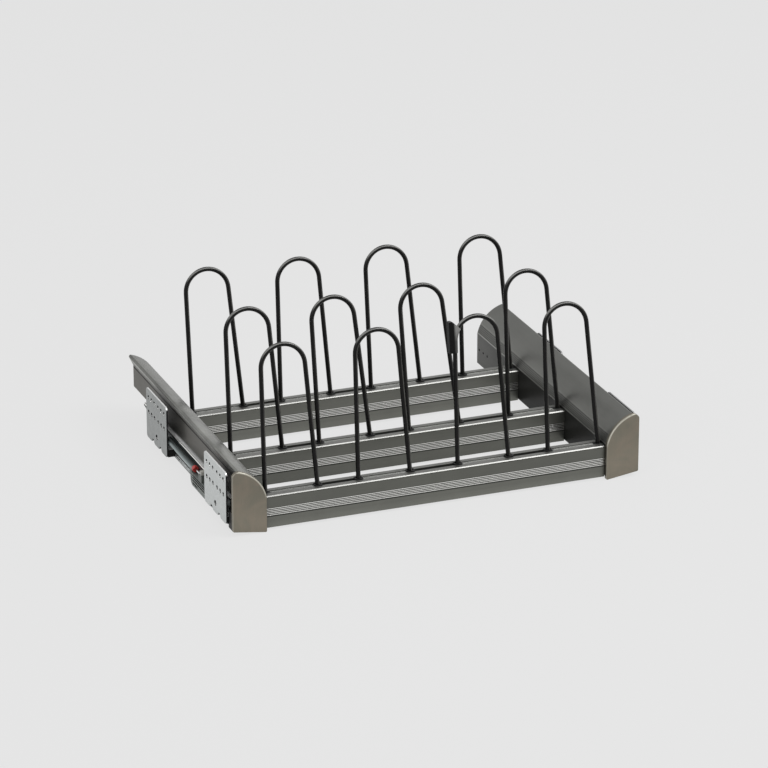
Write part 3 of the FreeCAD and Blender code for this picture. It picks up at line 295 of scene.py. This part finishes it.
    def finish(self, colour, roughness):
        """Link all layers to the shader and return the material."""
        if self.dull:
            for socket, clean, dirty in (("Metallic", self.metallic, 0.0),
                                         ("Specular IOR Level", 0.5, 0.02)):
                value = self.span(self.dull, clean, dirty, start=0.0, end=1.0)
                self.feed(self.shader.inputs[socket], value)
        self.feed(self.shader.inputs["Base Color"], colour)
        self.feed(self.shader.inputs["Roughness"], roughness)
        if self.normal:
            self.tree.links.new(self.normal, self.shader.inputs["Normal"])
        return self.material


def scaled(colour, factor):
    """A colour as numbers, made darker or paler."""
    return tuple(c * factor for c in colour)


def metal(name, colour, roughness, grain, edge_highlight=1.35, metallic=0.9, reach=0.03, least=0.5,
          dress=None):
    """Rolled, extruded or brushed metal: fine lines along the grain, soft clouds, a painted highlight
    along the edges and painted shade in gaps.

    dress(surface, tone) may lay more on the tone before the painted shade in gaps goes on.
    """
    s = Surface(name, metallic, Specular_Tint=0.8)
    edge = s.round_edges(0.00025)
    lines = s.noise(2600, 2.0, stretch=grain)
    clouds = s.noise(22, 4.0, distortion=0.6)
    speckle = s.noise(3800, 1.0)
    tone = s.mix(s.span(clouds, 0, 1), scaled(colour, 0.94), scaled(colour, 1.06))
    tone = s.mix(s.span(lines, 0.0, 0.16), tone, scaled(colour, 0.72))
    # painted highlight along the edges
    tone = s.mix(s.both(edge, 0.6), tone, scaled(colour, edge_highlight))
    if dress:
        tone = dress(s, tone)
    # painted shade in gaps
    tone = s.times(tone, s.painted_gap_shade(reach, least))
    s.bump(lines, 0.10, 0.00004)
    s.bump(speckle, 0.06, 0.00003)
    shine = s.span(lines, roughness - 0.03, roughness + 0.04)
    return s.finish(tone, s.math("ADD", s.span(clouds, -0.03, 0.04), shine))


def dress_rail(s, tone):
    """Painted light and shade on the rail: painted reflections and a painted highlight on the left
    rail, painted light under the lip, a darker and browner outer wall as painted shade, a painted
    shadow line under the lip, painted shade in the grooves at the curve's foot and on the inner skirt,
    and painted highlights on a ridge and at the curve's foot.
    """
    height = s.axis("Z")
    outside = s.span(s.side(), 0.0, 1.0, start=RAIL_WALL, end=RAIL_WALL + 0.0010)
    inside = s.math("SUBTRACT", 1.0, outside)
    on_left = s.span(s.axis("X"), 1.0, 0.0, start=-0.01, end=0.01)
    # painted reflections: blotches of light and shade on the left rail only
    blotches = s.noise(26, 3.0, distortion=0.9)
    tone = s.mix(on_left, tone, s.times(tone, s.span(blotches, 0.86, 1.16, start=0.35, end=0.65)))
    # painted shade: the outer wall under the lip is darker and browner
    wall = s.both(outside, s.span(height, 1.0, 0.0, start=LIP_FOOT - 0.0004, end=LIP_FOOT + 0.0004))
    tone = s.mix(wall, tone, (0.152, 0.146, 0.133))
    # painted light: the lip's underside is lightened
    under = s.both(s.span(height, 0.0, 1.0, *LIP_UNDERSIDE),
                   s.span(s.slant("Z"), 1.0, 0.0, start=-0.3, end=-0.1))
    tone = s.mix(under, tone, s.times(tone, 2.2))
    # painted highlight: the left rail's crest, towards its front, is paler where it faces up
    ahead = s.both(on_left, s.span(s.axis("Y"), 1.0, 0.0, start=-0.08, end=0.03))
    crest = s.both(ahead, s.span(s.slant("Z"), 0.0, 1.0, start=0.5, end=0.8))
    tone = s.mix(crest, tone, s.times(tone, 1.5))
    # painted shadow: a dark line under the lip, fading in and out along it
    seam_fade = s.noise(14, 2.0, stretch=(1, 1, 0.2))
    seam = s.both(outside, s.band(height, LIP_FOOT - 0.0022, 0.0011, 0.0006))
    tone = s.paint_shade(tone, s.both(seam, s.span(seam_fade, 0.82, 1.0, start=0.35, end=0.6)))
    # painted shade in the grooves at the foot of the curve
    for groove in REVEAL_HEIGHTS:
        mark = s.both(inside, s.band(height, groove, 0.0006, 0.0005))
        tone = s.paint_shade(tone, s.both(mark, 0.5), GROOVE_SHADE)
    # painted highlight on a line above the grooves
    ridge = s.both(inside, s.band(height, REVEAL_HEIGHTS[-1] + 0.0018, 0.0006, 0.0006))
    tone = s.mix(s.both(ridge, 0.30), tone, (0.30, 0.30, 0.28))
    # painted highlight along the foot of the curve
    foot = s.both(inside, s.band(height, CURVE_FOOT + 0.0008, 0.0005, 0.0004))
    tone = s.mix(s.both(foot, 0.8), tone, (0.42, 0.42, 0.40))
    # painted shade on the inner skirt, weaker towards the rear
    skirt = s.both(inside, s.span(height, 1.0, 0.0, start=CURVE_FOOT - 0.0006, end=CURVE_FOOT + 0.0002))
    rear = s.span(s.axis("Y"), 0.92, 0.45, start=0.08, end=0.20)
    return s.paint_shade(tone, s.both(skirt, rear), SHADE)


def dress_cap(s, tone):
    """Soft olive and brown patches, with painted light: paler towards the foot, a painted highlight
    along the round edge and on the front faces that look left.
    """
    patches = s.noise(34, 5.0, distortion=1.2)
    # painted light: paler towards the foot
    tone = s.times(tone, s.span(s.axis("Z"), 1.20, 1.0, start=0.0, end=0.07))
    tone = s.mix(s.span(patches, 0.0, 1.0, start=0.35, end=0.65), s.times(tone, 0.95),
                 s.mix(1.0, tone, (1.10, 1.03, 1.02), blend="MULTIPLY"))
    # painted highlight: a bright rim along the round edge
    on_front = s.span(s.axis("Y"), 1.0, 0.0, start=CAP_FACE + 0.0016, end=CAP_FACE + 0.0020)
    above = s.span(s.axis("Z"), 0.0, 1.0, start=CURVE_FOOT - 0.004, end=CURVE_FOOT + 0.006)
    round_edge = s.span(s.from_line(*CURVE_CENTRE), 0.0, 1.0,
                        start=CURVE_RADIUS - 0.0020, end=CURVE_RADIUS - 0.0014)
    rim = s.both(s.both(on_front, above), round_edge)
    tone = s.mix(s.both(rim, 0.85), tone, (0.60, 0.58, 0.50))
    # painted highlight on the front faces that look left
    left = s.both(on_front, s.span(s.slant("X"), 1.0, 0.0, start=-0.6, end=-0.15))
    return s.mix(s.both(left, 0.5), tone, (0.44, 0.43, 0.37))


def zinc(name, colour, roughness, reach=0.03, least=0.35, bright=0.93, dress=None):
    """Zinc-plated sheet: faint crystal patches, drawing lines, a painted highlight on the edges, and
    cut edges and hole walls painted bright where they face up and dark where they face down.
    """
    s = Surface(name, 0.85, Specular_Tint=0.85)
    edge = s.round_edges(0.0003)
    cells = s.add("ShaderNodeTexVoronoi")
    cells.inputs["Scale"].default_value = 420
    s.tree.links.new(s.coords, cells.inputs["Vector"])
    patch = s.add("ShaderNodeSeparateColor")
    s.tree.links.new(cells.outputs["Color"], patch.inputs[0])
    clouds = s.noise(60, 5.0, distortion=0.8)
    lines = s.noise(1800, 2.0, stretch=(1, 0.05, 1))
    tone = s.mix(patch.outputs[0], scaled(colour, 0.93), scaled(colour, 1.04))
    tone = s.mix(s.span(clouds, 0.0, 0.35), tone, scaled(colour, 0.82))
    # painted highlight along the edges
    tone = s.mix(s.both(edge, 0.7), tone, scaled(colour, 1.35))
    cut = s.span(s.facing("X"), 0.95, 0.0, start=0.35, end=0.6)
    if dress:
        tone = dress(s, tone)
    # painted shade in gaps
    tone = s.times(tone, s.painted_gap_shade(reach, least))
    # painted light and shade: cut faces and hole walls pale where they face up, dark where they face
    # down
    upward = s.span(s.slant("Z"), 0.0, 1.0, start=0.1, end=0.45)
    tone = s.mix(s.both(cut, upward), tone, s.mix(lines, (bright - 0.05,) * 3, (bright + 0.04,) * 3))
    tone = s.paint_shade(tone, s.both(cut, s.math("SUBTRACT", 1.0, upward)), HOLE_SHADE)
    s.bump(lines, 0.08, 0.00005)
    s.bump(clouds, 0.05, 0.0002)
    shine = s.span(clouds, roughness - 0.05, roughness + 0.06)
    return s.finish(tone, s.math("ADD", shine, s.span(lines, -0.02, 0.02)))


def dress_slide(s, tone):
    """The fixed member, with painted light and shade: a painted highlight on the top edge between
    painted shadow lines, a lower band painted paler, a painted shadow under the rib and painted shade
    on the top face.
    """
    height = s.axis("Z")
    outer = s.span(s.side(), 0.0, 1.0, start=SLIDE_FACE - 0.0030, end=SLIDE_FACE - 0.0024)
    # painted light: the lower band of the outer face is paler
    low = s.both(outer, s.span(height, 1.0, 0.0, *SLIDE_LOW_BAND))
    tone = s.mix(s.both(low, 0.8), tone, (0.80, 0.83, 0.83))
    # painted shadow lines in the seams
    for middle, half in SLIDE_SEAM_SHADOWS:
        tone = s.paint_shade(tone, s.both(outer, s.band(height, middle, half, 0.0006)))
    # painted shadow under the rib
    foot = s.both(outer, s.span(height, 1.0, 0.0, *SLIDE_FOOT))
    tone = s.paint_shade(tone, s.both(foot, 0.6), SLIDE_RIB_SHADOW)
    edge = s.both(outer, s.span(height, 0.0, 1.0, *SLIDE_TOP_EDGE))
    # painted shade on the top face under the rail
    top = s.span(s.side(), 1.0, 0.0, start=SLIDE_FACE - 0.0022, end=SLIDE_FACE - 0.0016)
    above = s.both(top, s.span(s.slant("Z"), 0.0, 1.0, start=0.8, end=0.95))
    # painted highlight along the top edge
    tone = s.mix(edge, tone, (0.98, 0.98, 0.95))
    return s.paint_shade(tone, s.both(above, s.span(height, 0.0, 0.85, *SLIDE_ROOF)))


def dress_far_plate(s, tone):
    """The right plates: only their tops stand out above the rail, with painted shade darkening the
    inner face.
    """
    inner = s.span(s.slant("X"), 1.0, 0.0, start=-0.8, end=-0.5)
    high = s.span(s.axis("Z"), 0.0, 1.0, start=0.070, end=0.074)
    # painted shade on the inner face, high up
    return s.paint_shade(tone, s.both(s.both(inner, high), 0.85), SHADE)


def dress_clip(s, tone):
    """The clip, with painted light: paler towards its nose, and a painted highlight on the slope at the
    end of its top.
    """
    # painted light: paler towards the nose and towards the top
    nose = s.span(s.axis("X"), 0.0, 1.0, start=CLIP_MIDDLE - 0.0010, end=CLIP_MIDDLE + 0.0018)
    nose = s.both(nose, s.span(s.axis("Z"), 0.32, 1.0, start=CLIP_TOP - 0.026, end=CLIP_TOP - 0.012))
    tone = s.mix(nose, tone, (0.30, 0.30, 0.29))
    # painted highlight on the slope
    slope = s.both(*(s.span(s.slant(axis), 0.0, 1.0, start=0.3, end=0.5) for axis in "ZX"))
    return s.mix(s.both(slope, 0.9), tone, (0.42, 0.42, 0.40))


def dress_track(s, tone):
    """The soft-close unit's housing: painted shade in the grooves and painted highlights on the ridges
    between them.
    """
    height = s.axis("Z")
    for groove in TRACK_GROOVES:
        # painted shade in each groove and a painted highlight on the ridge under it
        ridge = s.band(height, groove - TRACK_RIDGE_DROP, 0.0004, 0.0005)
        tone = s.paint_shade(tone, s.both(s.band(height, groove, 0.0006, 0.0005), 0.8), TRACK_GROOVE_SHADE)
        tone = s.mix(s.both(ridge, 0.6), tone, (0.52, 0.54, 0.50))
    return tone


def dress_catch(s, tone):
    """The catch, white along its top and a darker grey-green below."""
    below = s.span(s.axis("Z"), 1.0, 0.0, start=CATCH_TOP - 0.0046, end=CATCH_TOP - 0.0040)
    return s.mix(below, tone, (0.150, 0.165, 0.150))


def dress_tube(s, tone):
    """The damper's tube, darker and greener towards its top: painted shade on the faces that look up.
    """
    return s.times(tone, s.span(s.slant("Z"), 1.15, 0.25, start=0.0, end=0.75))


def plastic(name, colour, roughness, specular=0.4, dress=None):
    """Moulded plastic or rubber: a fine eroded grain, a painted highlight along the edges and painted
    shade in gaps.
    """
    s = Surface(name, 0.0, Specular_IOR_Level=specular)
    edge = s.round_edges(0.0003)
    grain = s.noise(1 / PLASTIC_GRAIN, 2.0)
    clouds = s.noise(45, 3.0)
    tone = s.mix(s.span(clouds, 0, 1), scaled(colour, 0.9), scaled(colour, 1.12))
    # painted highlight along the edges
    tone = s.mix(s.both(edge, 0.35), tone, scaled(colour, 1.6))
    if dress:
        tone = dress(s, tone)
    # painted shade in gaps
    tone = s.times(tone, s.painted_gap_shade(0.02, 0.5))
    s.bump(grain, 0.18, 0.00005)
    shine = s.span(grain, roughness - 0.05, roughness + 0.05)
    return s.finish(tone, s.math("ADD", shine, s.span(clouds, -0.03, 0.03)))


def wire_paint(name):
    """Black baked paint on bent wire, with a painted sheen on one flank, a painted highlight on top,
    and a few thin spots.
    """
    s = Surface(name, 0.0, Specular_IOR_Level=0.16)
    peel = s.noise(900, 2.0)
    clouds = s.noise(35, 4.0)
    streaks = s.noise(160, 3.0, stretch=(1, 1, 0.12))
    thin = s.span(s.noise(260, 4.0), 0.0, 1.0, start=0.66, end=0.74)
    tone = s.mix(s.span(clouds, 0, 1), (0.0030, 0.0030, 0.0030), (0.0065, 0.0063, 0.0058))
    across, ahead, up = s.slant("X"), s.slant("Y"), s.slant("Z")
    flank = s.span(across, 0.0, 1.0, start=0.10, end=0.38)
    flank = s.both(flank, s.span(across, 1.0, 0.0, start=0.62, end=0.85))
    flank = s.both(flank, s.span(s.math("ABSOLUTE", up), 1.0, 0.25, start=0.25, end=0.5))
    crown = s.span(up, 0.0, 1.0, start=0.42, end=0.62)
    crown = s.both(crown, s.span(up, 1.0, 0.0, start=0.80, end=0.93))
    crown = s.both(crown, s.span(ahead, 1.0, 0.0, start=0.0, end=0.3))
    # painted sheen on the right flank
    tone = s.mix(s.both(flank, s.span(streaks, 0.10, 0.75)), tone, (0.150, 0.146, 0.135))
    # painted highlight on the crown of the wire
    tone = s.mix(s.both(crown, 0.85), tone, (0.26, 0.26, 0.25))
    tone = s.mix(s.both(thin, 0.35), tone, (0.040, 0.034, 0.028))
    s.bump(peel, 0.10, 0.00008)
    return s.finish(tone, s.span(clouds, 0.20, 0.30))


def bar_finish(name, node):
    """Gunmetal anodising, cut to bright metal in the turned lines and along the front edge, with
    painted light and shade: each bar's own tone factors that change with height, a paler top face, a
    painted highlight on the edges and painted shade between the turned lines, under the front edge and
    in gaps.
    """
    s = Surface(name, 0.88, Specular_Tint=0.8)
    low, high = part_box(node)
    edge = s.round_edges(0.0002)
    height = s.axis("Z")
    lines = s.noise(2600, 2.0, stretch=ALONG_X)
    clouds = s.noise(20, 4.0, distortion=0.6)
    last_line = high.z - LINE_FIRST - LINE_COUNT * LINE_PITCH
    tone = s.mix(s.span(clouds, 0, 1), scaled(BAR_COLOUR, 0.94), scaled(BAR_COLOUR, 1.06))
    tone = s.mix(s.span(lines, 0.0, 0.18), tone, scaled(BAR_COLOUR, 0.7))
    # painted light: each bar's own tone factors, changing with height
    above, below, foot = BAR_PAINTED_LIGHT[node]
    tone = s.times(tone, s.span(height, foot, below, start=low.z, end=last_line - 0.006))
    tone = s.times(tone, s.span(height, 1.0, above / below, start=last_line, end=last_line + 0.011))
    # painted light: the top face is paler
    top = s.span(s.facing("Z"), 0.0, 1.0, start=0.85, end=0.95)
    streaks = s.span(lines, 0, 1)
    tone = s.mix(top, tone, s.mix(streaks, (0.215, 0.217, 0.205), (0.270, 0.272, 0.258)))
    # painted highlight along the edges
    tone = s.mix(s.both(edge, 0.4), tone, scaled(BAR_COLOUR, 1.6))
    turned = 0.0
    for i in range(LINE_COUNT):
        middle = high.z - LINE_FIRST - i * LINE_PITCH - LINE_WIDTH / 2
        turned = s.either(turned, s.band(height, middle, LINE_WIDTH * 0.48, LINE_WIDTH * 0.1))
    on_front = s.span(s.axis("Y"), 1.0, 0.0, start=low.y + 0.0006, end=low.y + 0.0008)
    turned = s.both(turned, on_front)
    half = LINE_COUNT * LINE_PITCH / 2
    field = s.both(on_front, s.band(height, high.z - LINE_FIRST - half, half + 0.0006, 0.0004))
    # painted shade between the turned lines
    gaps = s.both(field, s.math("SUBTRACT", 1.0, turned))
    tone = s.paint_shade(tone, s.both(gaps, 0.75), GROOVE_SHADE)
    # painted shade: a dark line under the front edge's highlight
    under = s.both(on_front, s.band(height, high.z - BAR_EDGE - 0.0009, 0.0006, 0.0004))
    tone = s.paint_shade(tone, s.both(under, 0.3), GROOVE_SHADE)
    tone = s.mix(turned, tone, s.mix(streaks, (0.94, 0.94, 0.90), (1.0, 1.0, 0.97)))
    slope = high.z - low.y - BAR_EDGE
    chamfer = s.span(s.math("SUBTRACT", height, s.axis("Y")), 0.0, 1.0,
                     start=slope - 0.00015, end=slope - 0.00005)
    tone = s.mix(chamfer, tone, s.mix(streaks, (0.205, 0.205, 0.197), (0.235, 0.235, 0.226)))
    # painted shade in gaps
    tone = s.times(tone, s.painted_gap_shade(0.02, 0.5))
    s.bump(lines, 0.10, 0.00004)
    polish = s.both(s.either(turned, chamfer), -0.12)
    return s.finish(tone, s.math("ADD", s.span(lines, 0.36, 0.44), polish))


SURFACES = {
    "side_rail": metal("rail_aluminium_look", (0.185, 0.187, 0.175), 0.36, ALONG_Y, edge_highlight=1.0,
                       dress=dress_rail, reach=0.02, least=0.35),
    "front_cap": metal("cap_bronze_look", (0.218, 0.204, 0.164), 0.38, UPRIGHT, edge_highlight=1.4,
                       dress=dress_cap, least=0.7),
    "wire_hoops": wire_paint("wire_black_look"),
    "wire_end_blocks": plastic("black_plastic_look", (0.008, 0.008, 0.008), 0.5, specular=0.2),
    "hoop_clip": plastic("clip_plastic_look", (0.006, 0.006, 0.006), 0.38, specular=0.1,
                         dress=dress_clip),
    "slide_cabinet_member": zinc("slide_steel_look", (0.38, 0.40, 0.40), 0.36, reach=0.012, least=0.65,
                                 dress=dress_slide),
    "slide_middle_member": zinc("slide_inner_steel_look", (0.38, 0.40, 0.40), 0.36),
    "ball_retainer": metal("retainer_steel_look", (0.42, 0.41, 0.38), 0.35, ALONG_Y),
    "bearing_balls": metal("ball_steel_look", (0.75, 0.75, 0.75), 0.12, ANY_WAY, metallic=1.0),
    "slide_rear_stop": plastic("stop_rubber_look", (0.018, 0.018, 0.018), 0.75),
    "hanger_angle": zinc("hanger_steel_look", (0.46, 0.47, 0.46), 0.38),
    "hanger_screws": metal("screw_steel_look", (0.50, 0.50, 0.47), 0.30, ANY_WAY),
    # painted light: one zinc-plated sheet in three tones, a shaded copy for the far plates, a lit copy
    # for the front plates and a shaded copy for the rear plates
    "mounting_plate_front_right": zinc("zinc_far_shaded_copy_look", (0.60, 0.62, 0.615), 0.60, bright=0.35,
                                       dress=dress_far_plate),
    "mounting_plate_front": zinc("zinc_steel_look", (0.72, 0.745, 0.74), 0.44),
    "mounting_plate_rear": zinc("zinc_rear_shaded_copy_look", (0.42, 0.435, 0.43), 0.46),
    "damper_track": plastic("track_plastic_look", (0.24, 0.265, 0.25), 0.5, dress=dress_track),
    "damper_tube": metal("damper_metal_look", (0.36, 0.42, 0.42), 0.34, ALONG_Y, metallic=0.7,
                         dress=dress_tube),
    "damper_end": plastic("damper_red_look", (0.60, 0.060, 0.050), 0.35),
    "soft_close_catch": plastic("catch_white_look", (0.66, 0.65, 0.60), 0.45, dress=dress_catch),
}
SAME_AS = {
    "mounting_plate_rear_right": "mounting_plate_front_right",
    "foot_pads": "wire_end_blocks",
    "front_buffer": "wire_end_blocks",
    "slide_rack_member": "slide_middle_member",
    "slide_rivets": "hanger_screws",
    "bar_screws": "hanger_screws",
    "striker_pin": "hanger_screws",
    "damper_rod": "bearing_balls",
}


def surface_of(name):
    """The finish of a node: the entry with the longest start of its name."""
    for start in sorted((*SURFACES, *SAME_AS), key=len, reverse=True):
        if name.startswith(start):
            return SURFACES[SAME_AS.get(start, start)]
    raise KeyError(name)


for name, piece in nodes.items():
    material = bar_finish(name + "_look", name) if name.startswith("cross_bar") else surface_of(name)
    for slot in piece.material_slots:
        slot.material = material


# ---------------------------------------------------------------- strips in the slots under the hoops
def make_strip(name, left, right, middle, top, material):
    """A strip with two fine grooves along its top, from one leg of a hoop to the other."""
    half = STRIP_WIDTH / 2
    floor = top - SLOT_DEPTH + STRIP_DROP + 0.0001
    across = [(-half, floor), (-half, top - STRIP_EDGE), (-half + STRIP_EDGE, top)]
    for centre in STRIP_GROOVES:
        across += [(centre - STRIP_GROOVE_HALF, top), (centre, top - STRIP_GROOVE_DEPTH),
                   (centre + STRIP_GROOVE_HALF, top)]
    across += [(half - STRIP_EDGE, top), (half, top - STRIP_EDGE), (half, floor)]
    shape = bmesh.new()
    ends = [[shape.verts.new((x, middle + y, z)) for y, z in across] for x in (left, right)]
    for i in range(len(across)):
        j = (i + 1) % len(across)
        shape.faces.new((ends[0][i], ends[0][j], ends[1][j], ends[1][i]))
    shape.faces.new(ends[0][::-1])
    shape.faces.new(ends[1])
    bmesh.ops.recalc_face_normals(shape, faces=shape.faces)
    mesh = bpy.data.meshes.new(name)
    shape.to_mesh(mesh)
    shape.free()
    mesh.materials.append(material)
    strip = bpy.data.objects.new(name, mesh)
    bpy.context.scene.collection.objects.link(strip)
    bevel = strip.modifiers.new("soft_edges", "BEVEL")
    bevel.width = 0.00012
    bevel.segments = 2
    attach(strip, "rack")


strip_look = metal("slot_strip_look", (0.200, 0.202, 0.192), 0.42, ALONG_X, least=0.6)
strip_reach = FOOT_SPAN / 2 - FOOT_GAP
for row, middles in HOOP_FEET.items():
    low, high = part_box("cross_bar_" + row)
    for i, middle in enumerate(middles):
        make_strip("slot_strip_%s_%d" % (row, i + 1), middle - strip_reach, middle + strip_reach,
                   low.y + SLOT_CENTRE, high.z - STRIP_DROP, strip_look)


# ---------------------------------------------------------------- floor, world, light, camera
def light_path(tree, keys):
    """1 where a ray is of one of the kinds named."""
    paths = tree.nodes.new("ShaderNodeLightPath")
    total = paths.outputs[keys[0]]
    for key in keys[1:]:
        total = calc(tree, "MAXIMUM", total, paths.outputs[key])
    return total


SEEN = ("Is Camera Ray", "Is Glossy Ray", "Is Transmission Ray")


def make_floor():
    mesh = bpy.data.meshes.new("studio_floor")
    height = cad_box[0].z - FLOOR_GAP
    signs = ((-1, -1), (1, -1), (1, 1), (-1, 1))
    corners = [(x * FLOOR_REACH, y * FLOOR_REACH, height) for x, y in signs]
    mesh.from_pydata(corners, [], [(0, 1, 2, 3)])
    floor = bpy.data.objects.new("studio_floor", mesh)
    bpy.context.scene.collection.objects.link(floor)
    material = bpy.data.materials.new("studio_floor_look")
    material.use_nodes = True
    tree = material.node_tree
    tree.nodes.clear()
    matt = tree.nodes.new("ShaderNodeBsdfDiffuse")
    matt.inputs["Color"].default_value = (FLOOR_COLOUR, FLOOR_COLOUR, FLOOR_COLOUR, 1)
    glow = tree.nodes.new("ShaderNodeEmission")
    level = BACKGROUND - FLOOR_LIT
    glow.inputs["Color"].default_value = (level, level, level, 1)
    tree.links.new(light_path(tree, SEEN), glow.inputs["Strength"])
    both = tree.nodes.new("ShaderNodeAddShader")
    tree.links.new(matt.outputs[0], both.inputs[0])
    tree.links.new(glow.outputs[0], both.inputs[1])
    output = tree.nodes.new("ShaderNodeOutputMaterial")
    tree.links.new(both.outputs[0], output.inputs["Surface"])
    mesh.materials.append(material)


def make_world():
    world = bpy.data.worlds.new("studio_world")
    bpy.context.scene.world = world
    world.use_nodes = True
    tree = world.node_tree
    tree.nodes.clear()

    def smooth(value, start, end, low, high):
        node = tree.nodes.new("ShaderNodeMapRange")
        node.interpolation_type = "SMOOTHSTEP"
        for socket, number in zip(node.inputs[1:5], (start, end, low, high)):
            socket.default_value = number
        tree.links.new(value, node.inputs[0])
        return node.outputs[0]

    direction = tree.nodes.new("ShaderNodeTexCoord").outputs["Generated"]
    axes = tree.nodes.new("ShaderNodeSeparateXYZ")
    tree.links.new(direction, axes.inputs[0])
    height = axes.outputs[2]
    ramp = tree.nodes.new("ShaderNodeValToRGB")
    tree.links.new(height, ramp.inputs[0])
    while len(ramp.color_ramp.elements) < len(SKY):
        ramp.color_ramp.elements.new(0.5)
    for stop, (where, strength) in zip(ramp.color_ramp.elements, SKY):
        stop.position = where
        stop.color = (strength, strength, strength, 1)
    toward = calc(tree, "ADD", calc(tree, "MULTIPLY", axes.outputs[0], PANEL_SIDE[0]),
                  calc(tree, "MULTIPLY", axes.outputs[1], PANEL_SIDE[1]))
    panel = calc(tree, "MULTIPLY", smooth(toward, *PANEL_EDGE, 0.0, 1.0),
                 smooth(height, *PANEL_TOP, WALL_PANEL, 0.0))
    panel = calc(tree, "MULTIPLY", panel, light_path(tree, ("Is Glossy Ray",)))
    shown = tree.nodes.new("ShaderNodeBackground")
    tree.links.new(ramp.outputs[0], shown.inputs["Color"])
    tree.links.new(calc(tree, "ADD", panel, 1.0), shown.inputs["Strength"])
    light = tree.nodes.new("ShaderNodeBackground")
    light.inputs["Color"].default_value = (AMBIENT, AMBIENT, AMBIENT, 1)
    choose = tree.nodes.new("ShaderNodeMixShader")
    tree.links.new(light_path(tree, SEEN), choose.inputs[0])
    tree.links.new(light.outputs[0], choose.inputs[1])
    tree.links.new(shown.outputs[0], choose.inputs[2])
    output = tree.nodes.new("ShaderNodeOutputWorld")
    tree.links.new(choose.outputs[0], output.inputs["Surface"])


def make_lamp(name, place, size, power):
    lamp = bpy.data.lights.new(name, "AREA")
    lamp.shape = "RECTANGLE"
    lamp.size, lamp.size_y = size
    lamp.energy = power
    item = bpy.data.objects.new(name, lamp)
    bpy.context.scene.collection.objects.link(item)
    item.location = place
    item.rotation_euler = (Vector(LAMP_AIM) - Vector(place)).to_track_quat("-Z", "Y").to_euler()


def make_camera():
    data = bpy.data.cameras.new("photo_camera")
    data.lens = CAMERA_LENS
    data.sensor_width = CAMERA_SENSOR
    data.clip_end = CAMERA_REACH
    camera = bpy.data.objects.new("photo_camera", data)
    bpy.context.scene.collection.objects.link(camera)
    camera.location = CAMERA_PLACE
    camera.rotation_euler = [math.radians(angle) for angle in CAMERA_TURN]
    bpy.context.scene.camera = camera


make_floor()
make_world()
for name, lamp in LAMPS.items():
    make_lamp(name, *lamp)
make_camera()
bpy.context.scene.view_settings.view_transform = "Standard"
